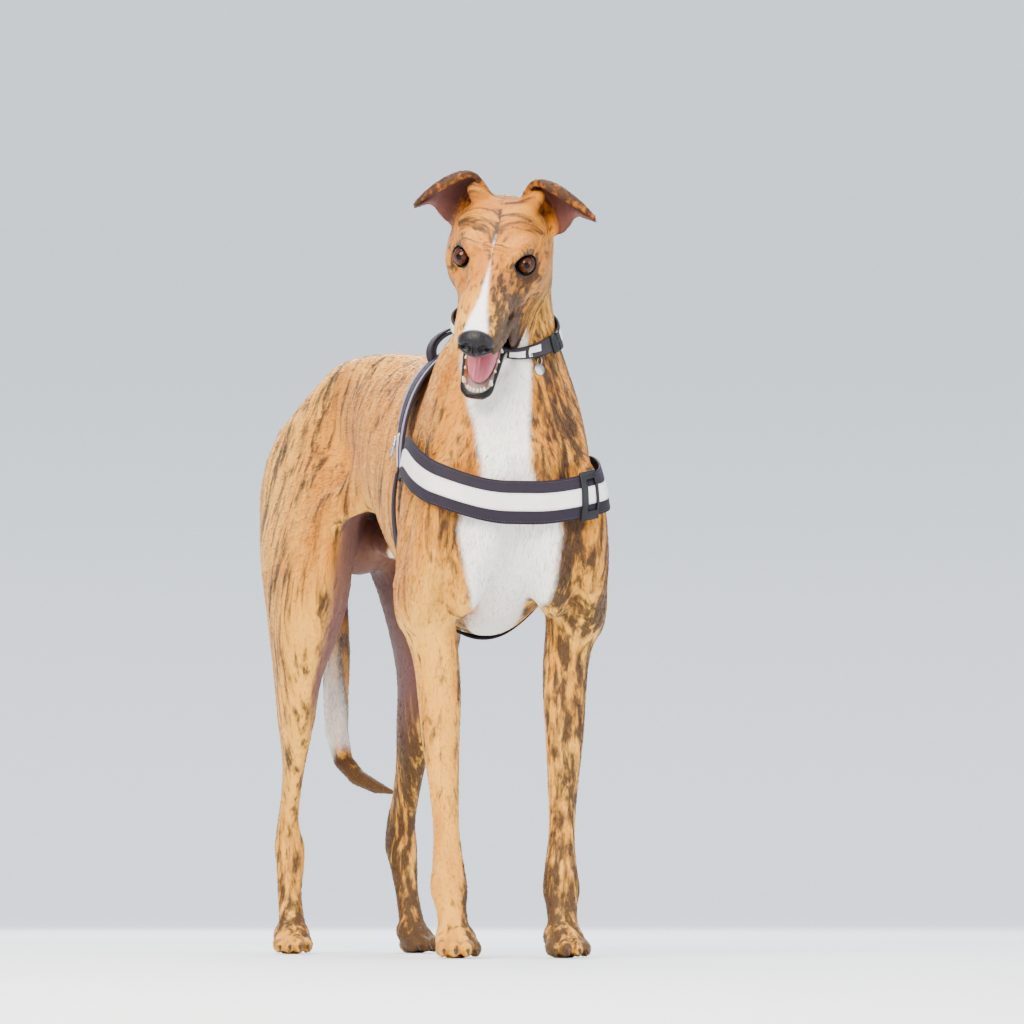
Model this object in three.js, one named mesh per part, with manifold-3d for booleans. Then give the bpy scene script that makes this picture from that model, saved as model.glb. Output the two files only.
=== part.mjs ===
import * as THREE from 'three';
import { mergeVertices } from 'three/addons/utils/BufferGeometryUtils.js';
import Module from 'manifold-3d';

// A standing greyhound at life size, in millimetres.
// It faces -Y, its left side is +X and its soles lie at Z = 0.
// The flesh is laid out on a straight dog and the forehand is then turned to the dog's right.

const wasm = await Module();
wasm.setup();

// Driving sizes
const GAP = 0.3;
const FOREHAND_TURN = THREE.MathUtils.degToRad(13.5);
const BEND_FROM = 60;
const BEND_TO = -160;

const HEAD = {
  at: [-32, -384, 816],
  nose_down: 39,
  tilt: 10,
  turn: -23.8,
  eye: [36, -3, 2],
  eye_radius: 12.5,
  lid: 2.4,
  lids: { reaches: [13, 10, 10], turn: [24, 10, 22], ahead: 12 },
  gape: 23,
  hinge: [0, 42, -50],
};

const FORE_LEGS = {
  left: { elbow: [80, -262, 350], wrist: [69, -286, 105], paw: [68, -300, 0], turn: 3 },
  right: { elbow: [74, -262, 350], wrist: [66, -286, 105], paw: [61, -300, 0], turn: 3 },
};

const HIND_LEGS = {
  left: { knee: [95, 232, 430], hock: [98, 338, 150], paw: [101, 312, 0], turn: 8 },
  right: { knee: [94, 205, 430], hock: [73, 308, 150], paw: [82, 280, 0], turn: 18 },
};

const SIDES = { left: 1, right: -1 };

const COAT = {
  fawn: '#c9975f',
  brindle: '#9a6f48',
  white: '#e9e3dc',
  slate: '#3a3638',
  tongue: '#c9727c',
  eye: '#4a2a17',
  ear: '#a9795a',
};

const GEAR = {
  webbing: '#4a4450',
  lining: '#8e8794',
  plastic: '#1f1f22',
  steel: '#b9bcc0',
  collar: '#2b2a2e',
};

const SATIN = { roughness: 0.4 };

// Small helpers
const vector = (x, y, z) => new THREE.Vector3(x, y, z);
const from = (list) => new THREE.Vector3(...list);
const clamp = THREE.MathUtils.clamp;
const radians = THREE.MathUtils.degToRad;
const spread = (first, last, count) => (
  Array.from({ length: count }, (_, k) => first + (last - first) * k / (count - 1)));

// Two surfaces run together over a soft join.
function melt(a, b, soft) {
  const near = Math.max(soft - Math.abs(a - b), 0) / soft;
  return Math.min(a, b) - near * near * soft / 4;
}

// Signed distance, close to the surface, of an oval with the given reaches.
function oval(offsets, reaches) {
  let ratio = 0;
  let slope = 0;
  for (let i = 0; i < offsets.length; i += 1) {
    ratio += (offsets[i] / reaches[i]) ** 2;
    slope += (offsets[i] / reaches[i] ** 2) ** 2;
  }
  ratio = Math.sqrt(ratio);
  return slope > 0 ? ratio * (ratio - 1) / Math.sqrt(slope) : -Math.min(...reaches);
}

// A trunk, neck or limb: oval sections across one axis, joined by smooth curves.
// A section holds its place, its middle across and its middle up or along.
// Then come the reaches to the right, to the left, low or front, and high or back, and last its turn.
class Loft {
  constructor(axis, sections) {
    this.axis = axis;
    this.sections = sections;
    this.places = sections.map((section) => section[0]);
  }

  section(place) {
    const { places, sections } = this;
    const at = clamp(place, places[0], places[places.length - 1]);
    let i = 0;
    while (i < places.length - 2 && places[i + 1] < at) i += 1;
    const width = places[i + 1] - places[i];
    const t = (at - places[i]) / width;
    return sections[i].map((start, k) => {
      const end = sections[i + 1][k];
      const before = i > 0
        ? (end - sections[i - 1][k]) / (places[i + 1] - places[i - 1]) * width
        : end - start;
      const last = i + 2 < places.length;
      const after = last ? (sections[i + 2][k] - start) / (places[i + 2] - places[i]) * width : end - start;
      const t2 = t * t;
      const t3 = t2 * t;
      return start * (2 * t3 - 3 * t2 + 1) + before * (t3 - 2 * t2 + t)
        + end * (3 * t2 - 2 * t3) + after * (t3 - t2);
    });
  }

  distance(point) {
    const place = point[this.axis];
    const [, across, along, right, left, low, high, turn] = this.section(place);
    const u = point.x - across;
    const v = (this.axis === 'y' ? point.z : point.y) - along;
    const c = Math.cos(turn);
    const s = Math.sin(turn);
    const du = c * u + s * v;
    const dv = c * v - s * u;
    const side = oval([du, dv], [du < 0 ? right : left, dv < 0 ? low : high]);
    const end = Math.max(this.places[0] - place, place - this.places[this.places.length - 1]);
    return end > 0 ? Math.hypot(Math.max(side, 0), end) : Math.max(side, end);
  }
}

// A muscle: an oval belly between two ends, as thick as given and flattened from side to side.
class Muscle {
  constructor(start, end, thick, flat = 1) {
    this.middle = from(start).add(from(end)).multiplyScalar(0.5);
    this.long = from(end).sub(from(start));
    const half = this.long.length() / 2;
    this.long.normalize();
    this.side = vector(1, 0, 0).addScaledVector(this.long, -this.long.x).normalize();
    this.up = this.long.clone().cross(this.side);
    this.reaches = [half, thick, thick * flat];
  }

  distance(point) {
    const offset = point.clone().sub(this.middle);
    return oval([offset.dot(this.long), offset.dot(this.up), offset.dot(this.side)], this.reaches);
  }
}

// A round ball.
class Ball {
  constructor(middle, radius) {
    this.middle = from(middle);
    this.radius = radius;
  }

  distance(point) {
    return point.distanceTo(this.middle) - this.radius;
  }
}

// A tapering round rope through a row of points: [across, along, height, radius].
class Rope {
  constructor(points) {
    this.points = points.map((point) => ({ at: from(point.slice(0, 3)), radius: point[3] }));
  }

  distance(point) {
    let best = Infinity;
    for (let i = 0; i < this.points.length - 1; i += 1) {
      const { at, radius } = this.points[i];
      const span = this.points[i + 1].at.clone().sub(at);
      const share = clamp(point.clone().sub(at).dot(span) / span.lengthSq(), 0, 1);
      const thick = THREE.MathUtils.lerp(radius, this.points[i + 1].radius, share);
      best = Math.min(best, point.distanceTo(at.clone().addScaledVector(span, share)) - thick);
    }
    return best;
  }
}

// All the flesh of one region, as shapes that melt into each other or are pressed in.
class Flesh {
  constructor() {
    this.steps = [];
  }

  add(shape, soft = 20) {
    this.steps.push({ shape, soft, hollow: false });
    return this;
  }

  press(shape, soft = 20) {
    this.steps.push({ shape, soft, hollow: true });
    return this;
  }

  distance(point) {
    let depth = 1e4;
    for (const { shape, soft, hollow } of this.steps) {
      const next = shape.distance(point);
      depth = hollow ? -melt(-depth, next, soft) : melt(depth, next, soft);
    }
    return depth;
  }
}

// Flesh that is modelled in a frame of its own and then posed.
class Posed {
  constructor(flesh, matrix) {
    this.flesh = flesh;
    this.inverse = matrix.clone().invert();
  }

  distance(point) {
    return this.flesh.distance(point.clone().applyMatrix4(this.inverse));
  }
}

// The forehand is carried round a quiet arc in the loins, without change of shape in front of it.
function bend(point) {
  const run = BEND_FROM - BEND_TO;
  const share = clamp((BEND_FROM - point.y) / run, 0, 1);
  if (share === 0) return point.clone();
  const angle = share * FOREHAND_TURN;
  const radius = run / FOREHAND_TURN;
  const ahead = Math.max(BEND_TO - point.y, 0);
  const spine = vector(-radius * (1 - Math.cos(angle)), BEND_FROM - radius * Math.sin(angle), point.z);
  spine.addScaledVector(vector(-Math.sin(angle), -Math.cos(angle), 0), ahead);
  return spine.addScaledVector(vector(Math.cos(angle), -Math.sin(angle), 0), point.x);
}

// Trunk: place along the body, heights of back, widest level and underline, half width
const TRUNK = [
  [-372, 590, 556, 520, 32],
  [-350, 640, 562, 480, 60],
  [-315, 705, 562, 438, 80],
  [-262, 735, 556, 398, 88],
  [-200, 737, 550, 383, 91],
  [-120, 734, 552, 394, 97],
  [-30, 733, 566, 424, 98],
  [50, 737, 606, 486, 88],
  [115, 741, 646, 520, 71],
  [180, 743, 660, 541, 61],
  [245, 742, 656, 552, 66],
  [305, 722, 638, 540, 68],
  [350, 688, 616, 534, 64],
  [388, 646, 600, 545, 52],
  [416, 606, 586, 560, 30],
];

// Neck: height, middle across, throat, crest, half width
const NECK = [
  [590, 3, -372, -170, 72],
  [640, 6, -371, -176, 70],
  [680, 7, -364, -192, 65],
  [720, 6, -352, -212, 61],
  [760, 3, -343, -233, 57],
  [800, -2, -345, -256, 54],
  [840, -9, -350, -275, 50],
];

// Tail, from root to tip: across, along, height, radius
const TAIL = [
  [0, 378, 632, 17],
  [0, 393, 600, 21],
  [3, 394, 556, 22],
  [7, 376, 505, 21.5],
  [8, 352, 440, 20],
  [6, 338, 380, 18.5],
  [3, 332, 330, 17],
  [2, 328, 280, 15.5],
  [5, 315, 244, 13],
  [14, 290, 222, 11.5],
  [25, 256, 209, 9],
  [33, 228, 203, 4],
];

function trunkFlesh() {
  const flesh = new Flesh();
  const sections = TRUNK.map(([place, back, level, low, half]) => (
    [place, 0, level, half, half, level - low, back - level, 0]));
  flesh.add(new Loft('y', sections), 1);
  for (const side of [1, -1]) {
    const muscle = (start, end, thick, flat, soft) => {
      const [a, b] = [start, end].map(([x, y, z]) => [x * side, y, z]);
      flesh.add(new Muscle(a, b, thick, flat), soft);
    };
    muscle([38, -185, 735], [86, -345, 530], 52, 0.48, 34);
    muscle([64, -190, 640], [110, -262, 400], 50, 0.52, 30);
    muscle([86, -350, 570], [105, -280, 392], 38, 0.66, 26);
    muscle([22, -362, 590], [58, -300, 400], 38, 0.8, 26);
    muscle([20, 60, 722], [24, 285, 722], 22, 0.9, 24);
    muscle([36, 215, 698], [66, 366, 590], 44, 0.45, 30);
    muscle([46, 50, 605], [84, 150, 545], 28, 0.42, 36);
  }
  flesh.add(new Muscle([0, 200, 520], [0, 300, 478], 34, 0.9), 24);
  flesh.add(new Muscle([0, 112, 486], [0, 215, 530], 15, 0.75), 16);
  flesh.press(new Muscle([-3, -376, 520], [-3, -322, 430], 11, 0.8), 16);
  return flesh;
}

function neckFlesh() {
  const sections = NECK.map(([height, across, throat, crest, half]) => {
    const along = (throat + crest) / 2;
    return [height, across, along, half, half, along - throat, crest - along, 0];
  });
  return new Loft('z', sections);
}

function foreLegFlesh(side, { elbow, wrist, paw, turn }) {
  // Height, shift across and along from the bone line, reach in, out, front, back
  const levels = [
    [22, 0, -10, 19, 19, 18, 18],
    [40, 0, -5, 18.5, 19, 17, 18],
    [60, 0, 0, 19, 20, 16, 18],
    [80, 0, 2, 22, 24, 18, 21],
    [110, 0, 0, 19.5, 20, 18, 18],
    [150, 0, 0, 16, 17, 15.5, 16],
    [200, 0, 0, 18, 19.5, 17, 18],
    [260, 0, 0, 22, 25, 20, 24],
    [310, 0, 0, 26, 27, 23, 32],
    [352, 2, 0, 28, 28, 27, 44],
    [400, 4, 0, 27, 37, 38, 50],
    [440, 2, 0, 24, 37, 46, 48],
  ];
  const boneLine = (height) => {
    const [low, high] = height < wrist[2] ? [paw, wrist] : [wrist, elbow];
    const share = (height - low[2]) / (high[2] - low[2]);
    return [0, 1].map((k) => THREE.MathUtils.lerp(low[k], high[k], share));
  };
  const sections = levels.map(([height, across, along, inner, outer, front, back]) => {
    const [x, y] = boneLine(height);
    const [right, left] = side > 0 ? [inner, outer] : [outer, inner];
    return [height, side * (x + across), y + along, right, left, front, back, 0];
  });
  return new Loft('z', sections);
}

function hindLegFlesh(side, { knee, hock, paw, turn }) {
  // Height, bone it follows, shift across and along, reach in, out, front, back
  const levels = [
    [22, 0, -12, 17.5, 17.5, 20, 17],
    [40, 0, -6, 17, 17, 17, 16],
    [75, 0, 0, 16, 16, 14, 15],
    [112, 0, 0, 20, 17, 18, 20],
    [135, 0, 1, 21, 18, 22, 28],
    [165, 0, 4, 14, 14, 24, 32],
    [200, 0, 2, 12.5, 12.5, 24, 32],
    [240, 0, 0, 14.5, 14.5, 27, 36],
    [290, 0, -2, 20, 24, 33, 50],
    [345, 0, -2, 25, 31, 38, 66],
    [400, 0, 0, 30, 36, 44, 84],
    [450, -3, 4, 38, 36, 60, 104],
    [500, -10, 8, 46, 35, 82, 122],
    [560, -24, 12, 48, 34, 100, 138],
    [610, -36, 16, 38, 32, 88, 118],
    [655, -46, 18, 26, 20, 56, 84],
  ];
  const boneLine = (height) => {
    const [low, high] = height < hock[2] ? [paw, hock] : [hock, knee];
    const share = clamp((height - low[2]) / (high[2] - low[2]), 0, 1);
    const above = Math.max(height - knee[2], 0);
    const [x, y] = [0, 1].map((k) => THREE.MathUtils.lerp(low[k], high[k], share));
    return [x, y + above * 0.22];
  };
  const angle = THREE.MathUtils.degToRad(turn) * side;
  const sections = levels.map(([height, across, along, inner, outer, front, back]) => {
    const [x, y] = boneLine(height);
    const [right, left] = side > 0 ? [inner, outer] : [outer, inner];
    const fade = clamp((knee[2] - height) / (knee[2] - hock[2]), 0, 1);
    return [height, side * (x + across), y + along, right, left, front, back, angle * fade];
  });
  return new Loft('z', sections);
}

// Head: place behind the eyes, heights of brow line, widest level and lip line, half width
const SKULL = [
  [-138, -20, -30, -42, 14],
  [-132, -14, -30, -46, 20],
  [-118, -8, -29, -49, 26],
  [-95, -2, -28, -50, 28.5],
  [-70, 4, -26, -52, 31],
  [-45, 11, -24, -56, 34],
  [-25, 18, -20, -62, 41],
  [-8, 27, -16, -68, 49],
  [12, 34, -13, -74, 57],
  [38, 39, -11, -78, 61],
  [62, 40, -12, -78, 62],
  [86, 35, -14, -74, 56],
  [106, 22, -16, -64, 42],
  [122, 4, -18, -46, 25],
];

// Lower jaw, closed: place, heights of lip line, widest level and chin line, half width
const JAW = [
  [-127, -50, -55, -61, 12],
  [-118, -49, -56, -66, 19.5],
  [-95, -49, -58, -71, 22.5],
  [-65, -51, -62, -77, 26],
  [-35, -54, -67, -84, 31],
  [0, -56, -70, -92, 38],
  [30, -54, -70, -94, 40],
  [55, -52, -68, -90, 39],
];

// The fold of skin at the corner of the mouth, from the upper lip down to the jaw
const LIP_FOLD = { middle: [32, -36, -70], reaches: [6.2, 22, 23.4], turn: [15, -2.5, 0] };

const headPose = new THREE.Matrix4().compose(
  from(HEAD.at),
  new THREE.Quaternion().setFromEuler(new THREE.Euler(
    THREE.MathUtils.degToRad(HEAD.nose_down),
    THREE.MathUtils.degToRad(HEAD.tilt),
    THREE.MathUtils.degToRad(HEAD.turn),
    'ZXY')),
  vector(1, 1, 1));

const jawOpen = new THREE.Matrix4()
  .makeTranslation(...HEAD.hinge)
  .multiply(new THREE.Matrix4().makeRotationX(THREE.MathUtils.degToRad(HEAD.gape)))
  .multiply(new THREE.Matrix4().makeTranslation(...HEAD.hinge.map((value) => -value)));

const profile = ([place, top, level, low, half]) => (
  [place, 0, level, half, half, level - low, top - level, 0]);

function headFlesh() {
  const flesh = new Flesh().add(new Loft('y', SKULL.map(profile)), 1);
  for (const side of [1, -1]) {
    flesh.add(new Muscle([side * 46, -14, -14], [side * 52, 62, -22], 13, 0.8), 12);
    flesh.add(new Muscle([side * 44, 14, -34], [side * 42, 82, -60], 24, 0.7), 16);
    flesh.add(new Muscle([side * 31, -6, -48], [side * 31, 26, -112], 24, 0.36), 14);
    flesh.add(new Muscle([side * 20, 80, 22], [side * 44, 72, 54], 14, 0.8), 12);
    flesh.add(new Muscle([side * 24, -22, 18], [side * 40, 18, 24], 9, 1), 10);
    flesh.add(new Muscle([side * 21, -132, -41], [side * 32, -40, -51], 9, 0.7), 8);
    flesh.press(new Muscle([side * 34, -52, -8], [side * 52, -6, -8], 12, 1), 16);
    flesh.add(new Ball([side * HEAD.eye[0], HEAD.eye[1], HEAD.eye[2]], HEAD.eye_radius + HEAD.lid), 7);
  }
  return flesh;
}

function jawFlesh() {
  return new Loft('y', JAW.map(profile));
}

// A paw in its own frame: the ankle stands over the origin and the toes point along -Y.
const TOES = [
  { across: -19, ahead: 0 },
  { across: -7, ahead: -11 },
  { across: 7, ahead: -11 },
  { across: 19, ahead: 0 },
];

function pawFlesh(kind) {
  const wide = kind === 'fore' ? 1 : 0.9;
  const flesh = new Flesh().add(new Muscle([0, 20, 12], [0, -26, 9], 14, 1.3), 1);
  for (const { across, ahead } of TOES) {
    const x = across * wide;
    flesh.add(new Muscle([x * 0.7, ahead + 16, 33], [x, ahead - 24, 14], 11, 0.8), 5);
    flesh.add(new Muscle([x, ahead - 8, 16], [x * 1.03, ahead - 41, 8], 11, 0.8), 4);
  }
  return flesh;
}

function pawPose({ side, joints }) {
  const turn = THREE.MathUtils.degToRad(joints.turn * side);
  return new THREE.Matrix4().makeTranslation(side * joints.paw[0], joints.paw[1], 0)
    .multiply(new THREE.Matrix4().makeRotationZ(turn));
}

const legs = [];
for (const [name, side] of Object.entries(SIDES)) {
  const [fore, hind] = [FORE_LEGS[name], HIND_LEGS[name]];
  legs.push({ kind: 'fore', name, side, joints: fore, flesh: foreLegFlesh(side, fore) });
  legs.push({ kind: 'hind', name, side, joints: hind, flesh: hindLegFlesh(side, hind) });
}

const head = headFlesh();
const jaw = jawFlesh();
const tail = new Rope(TAIL);
const body = trunkFlesh();
body.add(neckFlesh(), 40);
for (const leg of legs) {
  leg.foot = new Flesh().add(leg.flesh, 1).add(new Posed(pawFlesh(leg.kind), pawPose(leg)), 9);
  body.add(leg.foot, leg.kind === 'fore' ? 26 : 34);
}
body.add(new Posed(head, headPose), 22);

// Solids and cuts
function toSolid(geometry) {
  const bare = geometry.index ? geometry.toNonIndexed() : geometry.clone();
  bare.deleteAttribute('normal');
  bare.deleteAttribute('uv');
  const merged = mergeVertices(bare, 1e-4);
  return new wasm.Manifold(new wasm.Mesh({
    numProp: 3,
    vertProperties: new Float32Array(merged.attributes.position.array),
    triVerts: new Uint32Array(merged.index.array),
  }));
}

function toGeometry(solid) {
  const { vertProperties, triVerts } = solid.getMesh();
  const geometry = new THREE.BufferGeometry();
  geometry.setAttribute('position', new THREE.BufferAttribute(new Float32Array(vertProperties), 3));
  geometry.setIndex(new THREE.BufferAttribute(new Uint32Array(triVerts), 1));
  return geometry;
}

const larger = (best, part) => (part.volume() > best.volume() ? part : best);
const largest = (solid) => solid.decompose().reduce(larger);
const united = (geometries) => geometries.map(toSolid).reduce((sum, solid) => sum.add(solid));

// A block that stands on one side of a plane and half a gap over it; the normal points into the block.
function blockBeyond({ point, normal, size = 2400, gap = GAP }) {
  const block = new THREE.BoxGeometry(size, size, size);
  block.translate(0, 0, (size - gap) / 2);
  block.applyQuaternion(new THREE.Quaternion().setFromUnitVectors(vector(0, 0, 1), normal));
  block.translate(point.x, point.y, point.z);
  return toSolid(block);
}

function cutAway(solid, ...planes) {
  return largest(planes.reduce((rest, side) => rest.subtract(blockBeyond(side)), solid));
}

const flip = (cut) => ({ ...cut, normal: cut.normal.clone().negate() });
const plane = (point, normal, size) => ({ point: from(point), normal: from(normal).normalize(), size });
const posedPlane = (point, normal, matrix) => ({
  point: from(point).applyMatrix4(matrix),
  normal: from(normal).transformDirection(matrix),
});

// The parting planes between the trunk and what grows from it; each normal points away from the trunk.
// A leg begins beyond all the planes of its row.
const NECK_BASE = plane([0, -300, 682], [0, -0.66, 0.75]);
const HEAD_BASE = posedPlane([0, 66, -46], [0, -0.45, 0.89], headPose);
const NOSE_BASE = plane([0, -124, 0], [0, -1, 0]);
const FLOOR = { ...plane([0, 0, 0], [0, 0, -1]), gap: 0 };
const legRegion = ({ kind, side }) => (kind === 'fore'
  ? [plane([side * 58, -262, 412], [side * 0.8, -0.05, -0.6])]
  : [plane([side * 20, 330, 528], [side * 0.8, 0.35, -0.45])]);

const regionBlock = (region) => region.map(blockBeyond).reduce((block, next) => block.intersect(next));
const outside = (solid, ...regions) => (
  largest(regions.reduce((rest, region) => rest.subtract(regionBlock(region)), solid)));

// How far a ray runs before it is well inside a region, or endless if it misses it or starts inside.
function entry(region, middle, ray, past) {
  let near = 0;
  let well = Infinity;
  let far = Infinity;
  for (const { point, normal } of region) {
    const slope = ray.dot(normal);
    const depth = point.clone().sub(middle).dot(normal);
    if (depth > 0 && slope < 1e-6) return Infinity;
    if (depth > 0 && depth / slope > near) {
      near = depth / slope;
      well = near + Math.min(past / slope, past * 3);
    }
    if (depth <= 0 && slope < -1e-6) far = Math.min(far, depth / slope);
  }
  return near < far ? well : Infinity;
}

// How far along a ray the flesh ends, from a point inside it.
function surfaceAlong(flesh, middle, ray, limit = 400) {
  const step = 5;
  const at = (distance) => flesh.distance(middle.clone().addScaledVector(ray, distance));
  let near = 0;
  while (near < limit && at(near + step) < 0) near += step;
  let far = near + step;
  for (let k = 0; k < 12; k += 1) {
    const half = (near + far) / 2;
    if (at(half) < 0) near = half;
    else far = half;
  }
  return clamp(near, 0.5, limit);
}

// The way out of the flesh at a place on it.
function slopeAt(flesh, place) {
  const step = 2;
  const rise = (x, y, z) => {
    const probe = vector(x, y, z);
    return flesh.distance(place.clone().add(probe)) - flesh.distance(place.clone().sub(probe));
  };
  return vector(rise(step, 0, 0), rise(0, step, 0), rise(0, 0, step)).normalize();
}

// Rings of points round a curved core, each pushed out to the surface of the flesh.
// The first and last rings may lie along given planes or fan out into domes.
// No point goes far into a clip region.
function skin(flesh, core, options) {
  const { rings, sides, start, end, domes = [0, 0], clips = [] } = options;
  const { reach = 400, grow = 0, past = 25 } = options;
  const ease = 0.35;
  const curve = new THREE.CatmullRomCurve3(core.map(from), false, 'centripetal');
  const places = [];
  for (let k = 0; k < domes[0]; k += 1) places.push([0, -(1 - (k + 0.3) / domes[0])]);
  for (let i = 0; i < rings; i += 1) places.push([i / (rings - 1), 0]);
  for (let k = domes[1] - 1; k >= 0; k -= 1) places.push([1, 1 - (k + 0.3) / domes[1]]);
  const points = [];
  for (const [share, lean] of places) {
    const middle = curve.getPointAt(share);
    const normal = curve.getTangentAt(share);
    if (start && share < ease) normal.lerp(start, (1 - share / ease) ** 1.5).normalize();
    if (end && share > 1 - ease) normal.lerp(end, ((share - 1 + ease) / ease) ** 1.5).normalize();
    const u = vector(1, 0, 0).addScaledVector(normal, -normal.x).normalize();
    const v = normal.clone().cross(u);
    for (let j = 0; j < sides; j += 1) {
      const angle = j / sides * Math.PI * 2;
      const ray = u.clone().multiplyScalar(Math.cos(angle)).addScaledVector(v, Math.sin(angle));
      const rise = lean * Math.PI / 2;
      ray.multiplyScalar(Math.cos(rise)).addScaledVector(normal, Math.sin(rise));
      const limit = Math.min(reach, ...clips.map((region) => entry(region, middle, ray, past)));
      points.push(middle.clone().addScaledVector(ray, surfaceAlong(flesh, middle, ray, limit) + grow));
    }
  }
  return tubeGeometry(points, places.length, sides);
}

// A closed tube from rings of points, with a fan on each end.
function tubeGeometry(points, rings, sides) {
  const position = points.flatMap((point) => point.toArray());
  const index = [];
  for (const ring of [0, rings - 1]) {
    const middle = vector(0, 0, 0);
    for (let j = 0; j < sides; j += 1) middle.add(points[ring * sides + j]);
    position.push(...middle.divideScalar(sides).toArray());
  }
  for (let i = 0; i < rings - 1; i += 1) {
    for (let j = 0; j < sides; j += 1) {
      const a = i * sides + j;
      const b = i * sides + (j + 1) % sides;
      index.push(a, b, b + sides, a, b + sides, a + sides);
    }
  }
  for (let j = 0; j < sides; j += 1) {
    const next = (j + 1) % sides;
    index.push(rings * sides, next, j);
    index.push(rings * sides + 1, (rings - 1) * sides + j, (rings - 1) * sides + next);
  }
  return outward(position, index);
}

// Faces are turned so that the closed surface faces out.
function outward(position, index) {
  let volume = 0;
  const corner = (i) => vector(...position.slice(3 * i, 3 * i + 3));
  for (let i = 0; i < index.length; i += 3) {
    volume += corner(index[i]).dot(corner(index[i + 1]).cross(corner(index[i + 2])));
  }
  const geometry = new THREE.BufferGeometry();
  geometry.setAttribute('position', new THREE.Float32BufferAttribute(position, 3));
  geometry.setIndex(volume > 0 ? index : index.map((_, k) => index[k - k % 3 + [0, 2, 1][k % 3]]));
  return geometry;
}

// An oval body, turned by Euler angles in degrees.
function egg(middle, reaches, turn = [0, 0, 0], detail = [10, 7]) {
  const geometry = new THREE.SphereGeometry(1, ...detail).scale(...reaches);
  const [x, y, z] = turn.map(THREE.MathUtils.degToRad);
  geometry.applyQuaternion(new THREE.Quaternion().setFromEuler(new THREE.Euler(x, y, z)));
  return geometry.translate(...middle);
}

// A cone from its base to its tip.
function spike(base, tip, radius, sides = 5) {
  const [start, end] = [from(base), from(tip)];
  const length = start.distanceTo(end);
  const geometry = new THREE.ConeGeometry(radius, length, sides).translate(0, length / 2, 0);
  const direction = end.clone().sub(start).normalize();
  geometry.applyQuaternion(new THREE.Quaternion().setFromUnitVectors(vector(0, 1, 0), direction));
  return geometry.translate(start.x, start.y, start.z);
}

// A thin wall through a grid of points, as thick as given, closed round its edge.
function shell(rows, thick) {
  const [down, over] = [rows.length, rows[0].length];
  const at = (i, j) => rows[clamp(i, 0, down - 1)][clamp(j, 0, over - 1)];
  const position = [];
  for (const face of [1, -1]) {
    for (let i = 0; i < down; i += 1) {
      for (let j = 0; j < over; j += 1) {
        const along = at(i + 1, j).clone().sub(at(i - 1, j));
        const across = at(i, j + 1).clone().sub(at(i, j - 1));
        const normal = along.cross(across).normalize();
        position.push(...at(i, j).clone().addScaledVector(normal, face * thick / 2).toArray());
      }
    }
  }
  const index = [];
  const back = down * over;
  const quad = (a, b, c, d) => index.push(a, b, c, a, c, d);
  for (let i = 0; i < down - 1; i += 1) {
    for (let j = 0; j < over - 1; j += 1) {
      const a = i * over + j;
      quad(a, a + 1, a + 1 + over, a + over);
      quad(back + a, back + a + over, back + a + 1 + over, back + a + 1);
    }
  }
  const rim = [];
  for (let j = 0; j < over - 1; j += 1) rim.push(j);
  for (let i = 0; i < down - 1; i += 1) rim.push(i * over + over - 1);
  for (let j = over - 1; j > 0; j -= 1) rim.push((down - 1) * over + j);
  for (let i = down - 1; i > 0; i -= 1) rim.push(i * over);
  rim.forEach((a, k) => {
    const b = rim[(k + 1) % rim.length];
    quad(a, a + back, b + back, b);
  });
  return outward(position, index);
}

// A flat band laid on the flesh. A taut band bridges the hollows that it crosses.
// Each stop has a place inside the body, a ray out of it and the way its width runs. It may have its own width.
function band(flesh, stops, { wide, thick, lift, closed = false, shares = [-0.5, 0, 0.5], bridge = 4 }) {
  const starts = stops.map(({ middle, along, wide: own = wide }) => (
    shares.map((share) => middle.clone().addScaledVector(along, share * own))));
  const far = starts.map((row, i) => row.map((start) => surfaceAlong(flesh, start, stops[i].ray)));
  const count = stops.length;
  for (let pass = 0; pass < bridge; pass += 1) {
    for (let i = closed ? 0 : 1; i < (closed ? count : count - 1); i += 1) {
      const [before, after] = [far[(i + count - 1) % count], far[(i + 1) % count]];
      far[i] = far[i].map((reach, j) => Math.max(reach, (before[j] + after[j]) / 2));
    }
  }
  const points = [];
  stops.forEach(({ ray }, i) => {
    const place = (j, height) => starts[i][j].clone().addScaledVector(ray, far[i][j] + height);
    shares.forEach((_, j) => points.push(place(j, lift)));
    shares.forEach((_, j) => points.push(place(shares.length - 1 - j, lift + thick)));
  });
  const sides = shares.length * 2;
  return closed ? loopGeometry(points, count, sides) : tubeGeometry(points, count, sides);
}

// A closed hoop from rings of points.
function loopGeometry(points, rings, sides) {
  const index = [];
  for (let i = 0; i < rings; i += 1) {
    for (let j = 0; j < sides; j += 1) {
      const [next, k] = [(i + 1) % rings, (j + 1) % sides];
      const [a, b, c, d] = [i * sides + j, i * sides + k, next * sides + k, next * sides + j];
      index.push(a, b, c, a, c, d);
    }
  }
  return outward(points.flatMap((point) => point.toArray()), index);
}

// The model
const model = new THREE.Group();
model.name = 'greyhound';

function addNode(name, geometry, color, { roughness = 0.75, metalness = 0, pose } = {}) {
  const placed = geometry.clone();
  if (pose) placed.applyMatrix4(pose);
  const position = placed.attributes.position;
  for (let i = 0; i < position.count; i += 1) {
    const moved = bend(vector(position.getX(i), position.getY(i), position.getZ(i)));
    position.setXYZ(i, moved.x, moved.y, moved.z);
  }
  placed.computeVertexNormals();
  const mesh = new THREE.Mesh(placed, new THREE.MeshStandardMaterial({ color, roughness, metalness }));
  mesh.name = name;
  model.add(mesh);
}

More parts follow.
